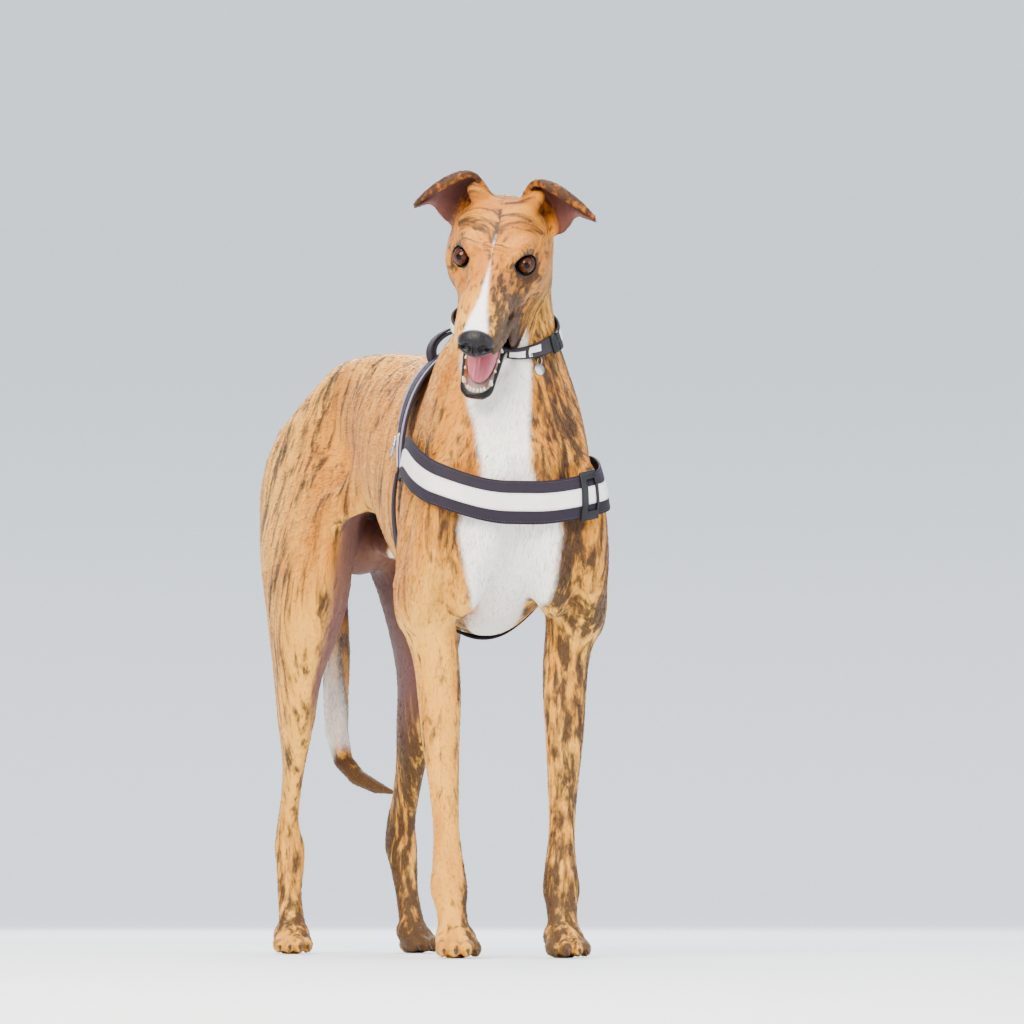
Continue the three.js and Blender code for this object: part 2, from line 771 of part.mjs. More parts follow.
// Torso
const TORSO_CORE = [
  [0, -300, 556], [0, -100, 570], [0, 60, 620],
  [0, 200, 655], [0, 330, 640], [0, 376, 620],
];
const trunkRegions = [[NECK_BASE], ...legs.map(legRegion)];
const torsoShape = { rings: 30, sides: 28, domes: [8, 3], clips: trunkRegions, past: 90 };
const TAIL_CORE = [[0, 382, 624], ...TAIL.slice(1).map((point) => point.slice(0, 3))];
const tailShape = { rings: 21, sides: 9, domes: [1, 1], reach: 40 };
const tailSkin = (grow) => toSolid(skin(tail, TAIL_CORE, { ...tailShape, grow }));
const torso = outside(toSolid(skin(body, TORSO_CORE, torsoShape)), ...trunkRegions);
const torsoGrown = toSolid(skin(body, TORSO_CORE, { ...torsoShape, grow: GAP }));
addNode('torso', toGeometry(largest(torso.subtract(tailSkin(GAP)))), COAT.fawn);

// Neck
const NECK_CORE = [[0, -285, 650], [-4, -286, 700], [-10, -290, 750], [-18, -300, 800], [-22, -312, 830]];
const neckShape = {
  rings: 12,
  sides: 26,
  start: NECK_BASE.normal,
  end: HEAD_BASE.normal,
  clips: [[flip(NECK_BASE)], [HEAD_BASE]],
};
const neck = cutAway(toSolid(skin(body, NECK_CORE, neckShape)), flip(NECK_BASE), HEAD_BASE);
const neckGrown = toSolid(skin(body, NECK_CORE, { ...neckShape, grow: GAP }));
addNode('neck', toGeometry(neck), COAT.fawn);

// Tail, in three lengths
const tailCuts = [plane([0, 343, 400], [0, -0.12, -1]), plane([1, 327, 272], [0.1, -0.4, -1])];
addNode('tail_base', toGeometry(cutAway(tailSkin(0), tailCuts[0])), COAT.fawn);
addNode('tail_middle', toGeometry(cutAway(tailSkin(0), flip(tailCuts[0]), tailCuts[1])), COAT.white);
addNode('tail_tip', toGeometry(cutAway(tailSkin(0), flip(tailCuts[1]))), COAT.brindle);

// Legs and paws
const ANKLE = plane([0, 0, 36], [0, 0, -1]);
const PAW_CORE = [[0, 4, 50], [0, 2, 32], [0, -10, 19], [0, -26, 13]];

function claws(kind) {
  const wide = kind === 'fore' ? 1 : 0.9;
  return TOES.map(({ across, ahead }) => (
    spike([across * wide, ahead - 33, 12], [across * wide * 1.05, ahead - 47, 3], 3.2, 4)));
}

for (const leg of legs) {
  const { kind, name, side, joints, foot } = leg;
  const region = legRegion(leg);
  const isFore = kind === 'fore';
  const { paw } = joints;
  const [upper, lower] = isFore ? [joints.elbow, joints.wrist] : [joints.knee, joints.hock];
  const place = ([x, y, z]) => [side * x, y, z];
  const thigh = isFore ? [[78, -262, 450], [80, -262, 410]] : [[50, 320, 604], [74, 288, 520]];
  const ankle = [[paw[0], paw[1] - 3, 44], [paw[0], paw[1] - 6, 26]];
  const back = isFore ? 0 : 12;
  const core = [...thigh, [upper[0], upper[1] + back, upper[2]], lower, ...ankle].map(place);
  const legSkin = toSolid(skin(body, core, {
    rings: isFore ? 20 : 26,
    sides: 16,
    start: region[0].normal,
    end: vector(0, 0, -1),
    clips: region.map((cut) => [flip(cut)]),
    reach: 280,
    past: 60,
  }));
  const joint = plane([side * upper[0], upper[1], upper[2] - 12], [0, isFore ? 0 : 0.35, -1]);
  const names = isFore ? ['upper_arm', 'forearm'] : ['thigh', 'lower_leg'];
  const upperPart = cutAway(legSkin, ...region.map(flip), joint).subtract(tailSkin(GAP));
  addNode(`${names[0]}_${name}`, toGeometry(largest(upperPart)), COAT.fawn);
  addNode(`${names[1]}_${name}`, toGeometry(cutAway(legSkin, flip(joint), ANKLE)), COAT.fawn);
  const pose = pawPose(leg);
  const pawCore = PAW_CORE.map((point) => from(point).applyMatrix4(pose).toArray());
  const pawSkin = toSolid(skin(foot, pawCore, { rings: 9, sides: 18, domes: [0, 4], reach: 60 }));
  const nails = united(claws(kind).map((nail) => nail.applyMatrix4(pose)));
  addNode(`${kind}paw_${name}`, toGeometry(cutAway(pawSkin.add(nails), flip(ANKLE), FLOOR)), COAT.fawn);
}

// Collar with its buckle
const COLLAR = { middle: [-4, -296, 744], tilt: 27, wide: 17, thick: 2.6, lift: 1.4, stops: 26 };

function collarStop(turn) {
  const [around, tilt] = [turn, COLLAR.tilt].map(radians);
  const ahead = vector(0, -Math.cos(tilt), -Math.sin(tilt));
  const ray = vector(Math.sin(around), 0, 0).addScaledVector(ahead, Math.cos(around));
  return { middle: from(COLLAR.middle), ray, along: vector(0, -Math.sin(tilt), Math.cos(tilt)) };
}

// The room a band takes up on the flesh, with a gap round it.
function room(stops, shape) {
  const { wide, thick, lift } = shape;
  return toSolid(band(body, stops, { ...shape, wide: wide + GAP * 2, lift: 0, thick: lift + thick + GAP }));
}

const collarStops = spread(0, 360 - 360 / COLLAR.stops, COLLAR.stops).map(collarStop);
const collarShape = { ...COLLAR, closed: true };
const collarRoom = room(collarStops, collarShape);
const collar = toSolid(band(body, collarStops, collarShape)).subtract(neckGrown);
addNode('collar', toGeometry(largest(collar)), GEAR.collar);
const BUCKLE = { turns: [44, 64], stops: 4, wide: 21, thick: 3, lift: COLLAR.lift + COLLAR.thick + GAP };
const buckle = toSolid(band(body, spread(...BUCKLE.turns, BUCKLE.stops).map(collarStop), BUCKLE));
addNode('collar_buckle', toGeometry(largest(buckle.subtract(collarRoom))), GEAR.plastic, SATIN);

// Head
const HEAD_CORE = [[0, 90, -20], [0, 40, -20], [0, 0, -20], [0, -60, -25], [0, -118, -30]];
const headBase = plane([0, 66, -46], [0, -0.45, 0.89]);
const headOnBody = new Posed(body, headPose.clone().invert());
const headShape = { rings: 26, sides: 26, domes: [4, 3], reach: 150, clips: [[flip(headBase)]], past: 40 };
const headSkin = (grow) => toSolid(skin(headOnBody, HEAD_CORE, { ...headShape, grow }));
const headGrown = headSkin(GAP);
const gaze = (side) => vector(side * 0.34, -0.84, 0.42).normalize();
const eyeAt = (side) => from(HEAD.eye).multiply(vector(side, 1, 1));

// The folds of skin at the corners of the mouth
function lipFolds(grow) {
  return united([1, -1].map((side) => {
    const [x, y, z] = LIP_FOLD.middle;
    const [pitch, roll, yaw] = LIP_FOLD.turn;
    const reaches = LIP_FOLD.reaches.map((reach) => reach + grow);
    return egg([side * x, y, z], reaches, [pitch, side * roll, side * yaw], [10, 6]);
  }));
}

const headRoom = headGrown.add(lipFolds(GAP)).transform(headPose.toArray());
let skull = headSkin(0).add(lipFolds(0));
for (const side of [1, -1]) {
  const eye = eyeAt(side);
  const ball = (radius) => toSolid(egg(eye.toArray(), [radius, radius, radius], [0, 0, 0], [12, 8]));
  const [pitch, roll, yaw] = HEAD.lids.turn;
  const slit = eye.clone().addScaledVector(gaze(side), HEAD.lids.ahead).toArray();
  skull = skull.subtract(toSolid(egg(slit, HEAD.lids.reaches, [pitch, side * roll, side * yaw], [12, 8])));
  skull = skull.subtract(ball(HEAD.eye_radius + GAP));
  addNode(side > 0 ? 'eye_left' : 'eye_right', toGeometry(ball(HEAD.eye_radius)), COAT.eye,
    { roughness: 0.05, pose: headPose });
}
const mouth = toSolid(egg([0, -56, -68], [20, 62, 21], [0, 0, 0], [14, 10]));
skull = cutAway(skull.subtract(mouth), flip(headBase), NOSE_BASE);
addNode('head', toGeometry(skull), COAT.fawn, { pose: headPose });

// Nose
const pad = toSolid(egg([0, -130, -31], [21.5, 12.5, 18], [0, 0, 0], [12, 8]));
let nose = cutAway(headSkin(0).add(pad), flip(NOSE_BASE));
for (const side of [1, -1]) {
  const nostril = egg([side * 10.5, -142, -32], [5.2, 9, 5], [0, side * 30, side * 24], [7, 5]);
  const slot = egg([side * 17, -137, -34], [6.5, 6, 1.6], [0, side * 26, side * 10], [6, 4]);
  nose = nose.subtract(toSolid(nostril)).subtract(toSolid(slot));
}
nose = nose.subtract(toSolid(egg([0, -143, -41], [1.2, 5, 14], [0, 0, 0], [5, 5])));
addNode('nose', toGeometry(largest(nose)), COAT.slate, { roughness: 0.4, pose: headPose });

// Ears: half folded cups that open to the front, from the base to the tip.
// A row holds the upper margin, the lower margin, the depth of the cup and the drop of the folded flap.
const EAR = {
  thick: 3,
  rows: [
    { upper: [22, 80, 34], lower: [50, 62, 0], depth: 26, flap: 0 },
    { upper: [31, 78, 57], lower: [64, 58, 6], depth: 27, flap: 2 },
    { upper: [43, 74, 69], lower: [74, 55, 18], depth: 21, flap: 5 },
    { upper: [60, 68, 68], lower: [81, 53, 29], depth: 14, flap: 9 },
    { upper: [77, 62, 59], lower: [88, 52, 32], depth: 8, flap: 10 },
    { upper: [92, 56, 46], lower: [96, 51, 29], depth: 5, flap: 7 },
    { upper: [103, 50, 33], lower: [104, 49, 26], depth: 3, flap: 3 },
  ],
  cup: 6,
  pivot: [40, 72, 30],
  raise: { left: 11, right: 0 },
  reach: { left: 1.1, right: 1 },
};

function earShell(name, side) {
  const raise = new THREE.Quaternion().setFromAxisAngle(vector(0, -1, 0), radians(EAR.raise[name]));
  const pivot = from(EAR.pivot);
  const rows = EAR.rows.map(({ upper, lower, depth, flap }) => {
    const [top, bottom] = [from(upper), from(lower)];
    const folds = [vector(1, -flap * 0.75, -flap), vector(0.5, -flap * 0.6, -flap * 0.4)];
    const row = folds.map((fold) => fold.add(top));
    for (let k = 0; k <= EAR.cup; k += 1) {
      const share = k / EAR.cup;
      const point = top.clone().lerp(bottom, share);
      row.push(point.addScaledVector(vector(0.1, 0.98, 0.1), depth * Math.sin(Math.PI * share) ** 0.8));
    }
    const outward = vector(EAR.reach[name], 1, 1);
    return row.map((point) => (
      point.sub(pivot).applyQuaternion(raise).multiply(outward).add(pivot).multiply(vector(side, 1, 1))));
  });
  return shell(rows, EAR.thick);
}

for (const [name, side] of Object.entries(SIDES)) {
  const ear = largest(toSolid(earShell(name, side)).subtract(headGrown));
  addNode(`ear_${name}`, toGeometry(ear), COAT.ear, { pose: headPose });
}

// Lower jaw with its teeth, and the tongue that lies in it
const jawPose = headPose.clone().multiply(jawOpen);
const JAW_CORE = [[0, 30, -70], [0, -35, -68], [0, -108, -58]];
const tongueShape = (grow) => united([
  egg([0, -36, -53], [18.5 + grow, 54 + grow, 9 + grow], [0, 0, 0], [10, 6]),
  egg([0, -74, -51], [16.5 + grow, 36 + grow, 8 + grow], [-2, 0, 0], [10, 8]),
]);
const groove = toSolid(egg([0, -66, -41.5], [2.4, 44, 4.5], [-2, 0, 0], [8, 6]));
const TEETH = {
  incisors: { count: 6, middle: -110, wide: 12, ahead: 9, arc: 0.9, root: -56, tip: -45.5, radius: 2.6 },
  canine: { root: [15.5, -107, -57], tip: [17, -109, -39], radius: 3.2 },
  cheek: { count: 4, first: [19, -88], step: [1.6, 15], root: -60, tip: -47, radius: 3 },
};

function incisors({ count, middle, wide, ahead, arc, root, tip, radius }) {
  return spread(-arc, arc, count).map((angle) => {
    const [x, y] = [Math.sin(angle) * wide, middle - Math.cos(angle) * ahead];
    return spike([x, y, root], [x * 1.02, y - 1, tip], radius, 4);
  });
}

function sideTeeth(side) {
  const { canine, cheek } = TEETH;
  const mirror = ([x, y, z]) => [side * x, y, z];
  const row = spread(0, cheek.count - 1, cheek.count).map((k) => {
    const [x, y] = [0, 1].map((i) => cheek.first[i] + cheek.step[i] * k);
    return spike([side * x, y, cheek.root], [side * x, y, cheek.tip], cheek.radius, 4);
  });
  return [spike(mirror(canine.root), mirror(canine.tip), canine.radius, 6), ...row];
}

const teeth = [...incisors(TEETH.incisors), ...sideTeeth(1), ...sideTeeth(-1)];
const jawSkin = toSolid(skin(jaw, JAW_CORE, { rings: 11, sides: 16, domes: [0, 3], reach: 60 }));
const jawSolid = largest(jawSkin.add(united(teeth)).subtract(tongueShape(GAP)).transform(jawPose.toArray())
  .subtract(headRoom).subtract(neckGrown).subtract(collarRoom));
addNode('lower_jaw', toGeometry(jawSolid), COAT.slate);
const tongue = largest(tongueShape(0).subtract(groove).transform(jawPose.toArray())
  .subtract(headRoom).subtract(neckGrown).subtract(collarRoom));
addNode('tongue', toGeometry(tongue), COAT.tongue, { roughness: 0.35 });

// Harness: a chest strap, a padded saddle over the back, a girth strap behind the elbows and a grab handle
const HARNESS = { wide: 50, thick: 2.6, lift: 2.2, bridge: 7, shares: [-0.5, -0.17, 0.17, 0.5] };
const CHEST = { middle: [0, -235], front: 532, rise: { left: 40, right: 60 }, reach: 112, stops: 27 };
const SADDLE = {
  middle: 596,
  top: -100,
  ends: -186,
  wide: 94,
  narrow: 54,
  thick: 5,
  lift: 1.6,
  reach: 100,
  stops: 15,
};
const GIRTH = { middle: 560, top: -160, under: -150, wide: 38, from: 79, stops: 21 };
const SLIDER = { turns: [27, 35], stops: 3, wide: 58, thick: 4, shares: [-0.5, 0, 0.5] };

function chestStop(turn) {
  const rise = CHEST.rise[turn < 0 ? 'right' : 'left'] * THREE.MathUtils.smoothstep(Math.abs(turn), 5, 85);
  const ray = vector(Math.sin(radians(turn)), -Math.cos(radians(turn)), 0);
  return { middle: vector(...CHEST.middle, CHEST.front + rise), ray, along: vector(0, 0, 1) };
}

function saddleStop(turn) {
  const share = THREE.MathUtils.smoothstep(Math.abs(turn), 0, SADDLE.reach);
  const place = THREE.MathUtils.lerp(SADDLE.top, SADDLE.ends, share);
  const ray = vector(Math.sin(radians(turn)), 0, Math.cos(radians(turn)));
  const wide = THREE.MathUtils.lerp(SADDLE.wide, SADDLE.narrow, share);
  return { middle: vector(0, place, SADDLE.middle), ray, along: vector(0, 1, 0), wide };
}

function girthStop(turn) {
  const share = Math.sin(radians(turn - 90));
  const ray = vector(Math.sin(radians(turn)), 0, Math.cos(radians(turn)));
  const place = THREE.MathUtils.lerp(GIRTH.top, GIRTH.under, share);
  return { middle: vector(0, place, GIRTH.middle), ray, along: vector(0, 1, 0) };
}

const saddleStops = spread(-SADDLE.reach, SADDLE.reach, SADDLE.stops).map(saddleStop);
const saddleWeave = { ...SADDLE, shares: [-0.5, -0.17, 0.17, 0.5] };
const saddle = largest(toSolid(band(body, saddleStops, saddleWeave)).subtract(torsoGrown));
addNode('saddle', toGeometry(saddle), GEAR.lining);
const grownStops = saddleStops.map((stop) => ({ ...stop, wide: stop.wide + GAP * 2 }));
const lastStop = (stop, turn) => ({ ...saddleStop(turn), wide: stop.wide });
const aroundStops = [lastStop(grownStops[0], -SADDLE.reach - GAP / 2), ...grownStops,
  lastStop(grownStops[grownStops.length - 1], SADDLE.reach + GAP / 2)];
const saddleFill = { ...saddleWeave, lift: 0, thick: SADDLE.lift + SADDLE.thick + GAP };
const saddleRoom = toSolid(band(body, aroundStops, saddleFill));
const chestStops = spread(-CHEST.reach, CHEST.reach, CHEST.stops).map(chestStop);
const chestStrap = toSolid(band(body, chestStops, HARNESS)).subtract(torsoGrown).subtract(saddleRoom);
addNode('chest_strap', toGeometry(largest(chestStrap)), GEAR.webbing);
const girthStops = spread(GIRTH.from, 360 - GIRTH.from, GIRTH.stops).map(girthStop);
const chestRoom = room(chestStops, HARNESS);
const girthWeave = { ...HARNESS, wide: GIRTH.wide, shares: [-0.5, 0, 0.5] };
const girth = toSolid(band(body, girthStops, girthWeave)).subtract(torsoGrown)
  .subtract(saddleRoom).subtract(chestRoom);
addNode('girth_strap', toGeometry(largest(girth)), GEAR.webbing);
const overStrap = HARNESS.lift + HARNESS.thick + GAP;
const sliderStops = spread(...SLIDER.turns, SLIDER.stops).map(chestStop);
const slider = toSolid(band(body, sliderStops, { ...HARNESS, ...SLIDER, lift: overStrap, bridge: 1 }));
addNode('strap_slider', toGeometry(largest(slider.subtract(chestRoom))), GEAR.plastic, SATIN);

// The grab handle stands in an arch across the back
const HANDLE = { place: -96, half: 47, top: 760, squash: 30, wide: 26, thick: 6.5, stops: 17, reach: 112 };
const handlePoints = [];
for (const turn of spread(-HANDLE.reach, HANDLE.reach, HANDLE.stops)) {
  const [s, c] = [Math.sin(radians(turn)), Math.cos(radians(turn))];
  const { squash } = HANDLE;
  const spine = vector(s * HANDLE.half, HANDLE.place, HANDLE.top - squash + c * squash);
  const out = vector(s * squash, 0, c * HANDLE.half).normalize();
  for (const [across, off] of [[-0.5, 0], [0.5, 0], [0.5, 1], [-0.5, 1]]) {
    const corner = spine.clone().addScaledVector(out, off * HANDLE.thick);
    handlePoints.push(corner.add(vector(0, across * HANDLE.wide, 0)));
  }
}

const handle = toSolid(tubeGeometry(handlePoints, HANDLE.stops, 4))
  .subtract(saddleRoom).subtract(torsoGrown);
addNode('handle', toGeometry(largest(handle)), GEAR.webbing);

// Rings where the straps meet
const RING = { radius: 11, wire: 1.7, lift: 9, turn: 84 };
for (const [name, side] of Object.entries(SIDES)) {
  const { middle, ray } = saddleStop(side * RING.turn);
  const place = middle.clone().addScaledVector(ray, surfaceAlong(body, middle, ray));
  const out = slopeAt(body, place);
  const ring = new THREE.TorusGeometry(RING.radius, RING.wire, 5, 12);
  ring.applyQuaternion(new THREE.Quaternion().setFromUnitVectors(vector(0, 0, 1), out));
  const at = place.addScaledVector(out, SADDLE.lift + SADDLE.thick + RING.wire + RING.lift);
  const placed = toSolid(ring.translate(at.x, at.y, at.z)).subtract(saddleRoom);
  addNode(`ring_${name}`, toGeometry(largest(placed)), GEAR.steel, { roughness: 0.25, metalness: 1 });
}

const centre = new THREE.Box3().setFromObject(model).getCenter(vector(0, 0, 0));
model.position.set(-centre.x, -centre.y, 0);

export default model;
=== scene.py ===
"""A life-size greyhound that stands in its harness and collar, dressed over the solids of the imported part.

The flesh is one field of smooth shapes in millimetres, laid out on a straight dog that faces -Y, its soles at
Z = 0. The field is given a skin, and the forehand is turned to the dog's right.
"""

import logging
import math
from dataclasses import dataclass
from enum import Enum
from math import radians
from typing import Callable, Dict, List, Optional, Sequence, Tuple

import bpy
import numpy as np
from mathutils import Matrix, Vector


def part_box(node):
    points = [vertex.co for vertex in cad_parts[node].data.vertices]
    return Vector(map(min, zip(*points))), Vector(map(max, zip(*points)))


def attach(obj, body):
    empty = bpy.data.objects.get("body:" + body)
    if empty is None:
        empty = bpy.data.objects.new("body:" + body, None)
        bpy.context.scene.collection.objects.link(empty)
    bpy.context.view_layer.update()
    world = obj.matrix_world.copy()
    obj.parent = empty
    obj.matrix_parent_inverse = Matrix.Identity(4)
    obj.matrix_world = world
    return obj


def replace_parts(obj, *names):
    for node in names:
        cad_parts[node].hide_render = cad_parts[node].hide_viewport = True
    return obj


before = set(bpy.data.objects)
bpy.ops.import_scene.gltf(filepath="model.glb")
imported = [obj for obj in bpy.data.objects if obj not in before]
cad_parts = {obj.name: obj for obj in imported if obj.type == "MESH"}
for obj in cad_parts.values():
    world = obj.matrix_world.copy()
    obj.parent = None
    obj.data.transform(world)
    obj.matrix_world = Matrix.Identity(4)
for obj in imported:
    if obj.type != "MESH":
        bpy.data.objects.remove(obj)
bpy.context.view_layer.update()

import openvdb
from mathutils import Euler, Matrix, Vector
from mathutils.bvhtree import BVHTree

logging.basicConfig(level=logging.INFO, format="%(message)s")
LOG = logging.getLogger("greyhound")

Array = np.ndarray
Pair = Tuple[float, float]
Triple = Tuple[float, float, float]
Piece = bpy.types.Object
Material = bpy.types.Material
Node = bpy.types.Node
Socket = bpy.types.NodeSocket

MM = 0.001
SIDES = {"left": 1, "right": -1}

# The turn of the forehand
FOREHAND_TURN = radians(13.5)
BEND_FROM = 60.0
BEND_TO = -160.0

# How deep the skin lies under the tips of the coat
COAT_DEPTH = 1.2


# Sizes of the body


@dataclass(frozen=True)
class HeadSizes:
    """Where the head is carried, with its eyes and jaw."""

    at: Triple = (-32, -384, 816)
    nose_down: float = 39
    tilt: float = 10
    turn: float = -23.8
    eye: Triple = (36, -3, 2)
    eye_radius: float = 12.5
    lid: float = 2.4
    gape: float = 23
    hinge: Triple = (0, 42, -50)

    def pose(self) -> Matrix:
        """Returns the matrix from the frame of the head to the straight dog."""
        angles = Euler([radians(a) for a in (self.nose_down, self.tilt, self.turn)], "YXZ")
        return Matrix.Translation(self.at) @ angles.to_matrix().to_4x4()

    def jaw_pose(self) -> Matrix:
        """Returns the matrix from the frame of the closed jaw to the straight dog."""
        hinge = Matrix.Translation(self.hinge)
        return self.pose() @ hinge @ Matrix.Rotation(radians(self.gape), 4, "X") @ hinge.inverted()


@dataclass(frozen=True)
class LegSizes:
    """The joints of one leg, as on the left side, and how far its paw turns out."""

    upper: Triple
    lower: Triple
    paw: Triple
    turn: float


class Kind(Enum):
    """Which pair a leg belongs to."""

    FORE = "fore"
    HIND = "hind"


HEAD = HeadSizes()
FORE_LEGS = {
    "left": LegSizes((80, -262, 350), (69, -286, 105), (68, -300, 0), 3),
    "right": LegSizes((74, -262, 350), (66, -286, 105), (61, -300, 0), 3),
}
HIND_LEGS = {
    "left": LegSizes((95, 232, 430), (98, 338, 150), (101, 312, 0), 8),
    "right": LegSizes((94, 205, 430), (73, 308, 150), (82, 280, 0), 18),
}

# Trunk: place along the body, heights of back, widest level and underline, half width
TRUNK = [
    (-372, 590, 556, 520, 32), (-350, 640, 562, 480, 60), (-315, 705, 562, 438, 80),
    (-262, 735, 556, 398, 88), (-200, 737, 550, 383, 91), (-120, 734, 552, 394, 97),
    (-30, 733, 566, 436, 98), (50, 737, 612, 500, 88), (115, 741, 654, 537, 71), (180, 743, 662, 552, 61),
    (245, 742, 656, 552, 66), (305, 722, 638, 540, 68), (350, 688, 616, 534, 64), (388, 646, 600, 545, 52),
    (416, 606, 586, 560, 30),
]

# Neck: height, middle across, throat, crest, half width
NECK = [
    (590, 3, -372, -170, 72), (640, 6, -371, -176, 70), (680, 7, -364, -192, 65), (720, 6, -352, -212, 61),
    (760, 3, -343, -233, 57), (800, -2, -345, -256, 54), (840, -9, -350, -275, 50),
]

# Tail, from root to tip: across, along, height, radius
TAIL = [
    (0, 378, 632, 17), (0, 393, 600, 21), (3, 394, 556, 22), (7, 376, 505, 21.5), (8, 352, 440, 20),
    (6, 338, 380, 18.5), (3, 332, 330, 17), (2, 328, 280, 15.5), (5, 315, 244, 13), (14, 290, 222, 11.5),
    (25, 256, 209, 9), (33, 228, 203, 4),
]

# Head: place behind the eyes, heights of brow line, widest level and lip line, half width
SKULL = [
    (-138, -20, -30, -42, 14), (-132, -14, -30, -46, 20), (-118, -8, -29, -49, 26),
    (-95, -2, -28, -50, 28.5), (-70, 4, -26, -52, 31), (-45, 11, -24, -56, 34), (-25, 18, -20, -62, 41),
    (-8, 27, -16, -68, 49), (12, 34, -13, -74, 57), (38, 39, -11, -78, 61), (62, 40, -12, -78, 62),
    (86, 35, -14, -74, 56), (106, 22, -16, -64, 42), (122, 4, -18, -46, 25),
]

# Lower jaw, closed: place, heights of lip line, widest level and chin line, half width
JAW = [
    (-127, -50, -55, -61, 12), (-118, -49, -56, -66, 19.5), (-95, -49, -58, -71, 22.5),
    (-65, -51, -62, -77, 26), (-35, -54, -67, -84, 31), (0, -56, -70, -92, 38), (30, -54, -70, -94, 40),
    (55, -52, -68, -90, 39),
]

# Fore leg: height, shift across and along from the bone line, reach in, out, front, back
FORE_LEVELS = [
    (22, 0, -10, 19, 19, 18, 18), (40, 0, -5, 18.5, 19, 17, 18), (60, 0, 0, 19, 20, 16, 18),
    (80, 0, 2, 22, 24, 18, 21), (110, 0, 0, 19.5, 20, 18, 18), (150, 0, 0, 16, 17, 15.5, 16),
    (200, 0, 0, 18, 19.5, 17, 18), (260, 0, 0, 22, 25, 20, 24), (310, 0, 0, 26, 27, 23, 32),
    (352, 2, 0, 28, 28, 27, 44), (400, 4, 0, 27, 37, 38, 50), (440, 2, 0, 24, 37, 46, 48),
]

# Hind leg, in the same way
HIND_LEVELS = [
    (22, 0, -12, 17.5, 17.5, 20, 17), (40, 0, -6, 17, 17, 17, 16), (75, 0, 0, 16, 16, 14, 15),
    (112, 0, 0, 20, 17, 18, 20), (135, 0, 1, 21, 18, 22, 28), (165, 0, 4, 14, 14, 24, 32),
    (200, 0, 2, 12.5, 12.5, 24, 32), (240, 0, 0, 14.5, 14.5, 27, 36), (290, 0, -2, 20, 24, 33, 50),
    (345, 0, -2, 25, 31, 38, 66), (400, 0, 0, 44, 36, 44, 84), (450, -3, 4, 54, 36, 60, 104),
    (500, -10, 8, 54, 35, 82, 122), (560, -24, 12, 48, 34, 100, 138), (610, -36, 16, 38, 32, 88, 118),
    (655, -46, 18, 26, 20, 56, 84),
]

# Toes: across and ahead of the ankle
TOES = [(-19, 0), (-7, -11), (7, -11), (19, 0)]

# Ears, from the base to the tip: upper margin, lower margin, depth of the cup, drop of the folded flap
EAR_ROWS = [
    ((22, 80, 34), (50, 62, 0), 26, 0), ((31, 78, 57), (64, 58, 6), 27, 2),
    ((43, 74, 69), (74, 55, 18), 21, 5), ((60, 68, 68), (81, 53, 29), 14, 9),
    ((77, 62, 59), (88, 52, 32), 8, 10), ((92, 56, 46), (96, 51, 29), 5, 7),
    ((103, 50, 33), (104, 49, 26), 3, 3),
]
EAR_PIVOT = (40, 72, 30)
EAR_RAISE = {"left": 11, "right": 0}
EAR_REACH = {"left": 1.1, "right": 1.0}
EAR_WALL = 2.2


# Fields: a shape gives its distance from points, less than 0 inside


def melt(a: Array, b: Array, soft: float) -> Array:
    """Returns two fields run together over a soft join."""
    near = np.maximum(soft - np.abs(a - b), 0) / soft
    return np.minimum(a, b) - near * near * soft / 4


def oval(offsets: Array, reaches: Array) -> Array:
    """Returns the distance, close to the surface, of an oval with the given reaches."""
    ratio = np.sqrt(np.sum((offsets / reaches) ** 2, axis=-1))
    slope = np.sqrt(np.sum((offsets / reaches**2) ** 2, axis=-1))
    return ratio * (ratio - 1) / np.maximum(slope, 1e-6)


def ease(values: Array, low: float, high: float) -> Array:
    """Returns a smooth rise from 0 at low to 1 at high."""
    share = np.clip((values - low) / (high - low), 0, 1)
    return share * share * (3 - 2 * share)


def unit(vectors: Array) -> Array:
    """Returns the vectors at length 1."""
    return vectors / np.maximum(np.linalg.norm(vectors, axis=-1, keepdims=True), 1e-9)


def moved(points: Array, matrix: Matrix) -> Array:
    """Returns the points moved by a matrix."""
    m = np.array(matrix)
    return points @ m[:3, :3].T + m[:3, 3]


def lattice(*axes: Array) -> Array:
    """Returns every place that values along three axes make."""
    return np.stack(np.meshgrid(*axes, indexing="ij"), -1).reshape(-1, 3)


def columns(*parts) -> Array:
    """Returns numbers and arrays side by side, with a row for each point."""
    return np.stack(np.broadcast_arrays(*parts), axis=-1)


def blend(a: Array, b: Array, share: Array) -> Array:
    """Returns rows that go from a to b by each point's share."""
    return a + (b - a) * share[:, None]


class Shape:
    """A body with a distance field; its box says where the field needs to be worked out."""

    box: Optional[Tuple[Array, Array]] = None

    def distance(self, points: Array) -> Array:
        """Returns the distances of the points."""
        raise NotImplementedError

    def near(self, points: Array, reach: float) -> Optional[Array]:
        """Returns which points lie within reach of the box, or None where there is no box."""
        if self.box is None:
            return None
        low, high = self.box
        return np.flatnonzero(np.all((points > low - reach) & (points < high + reach), axis=1))


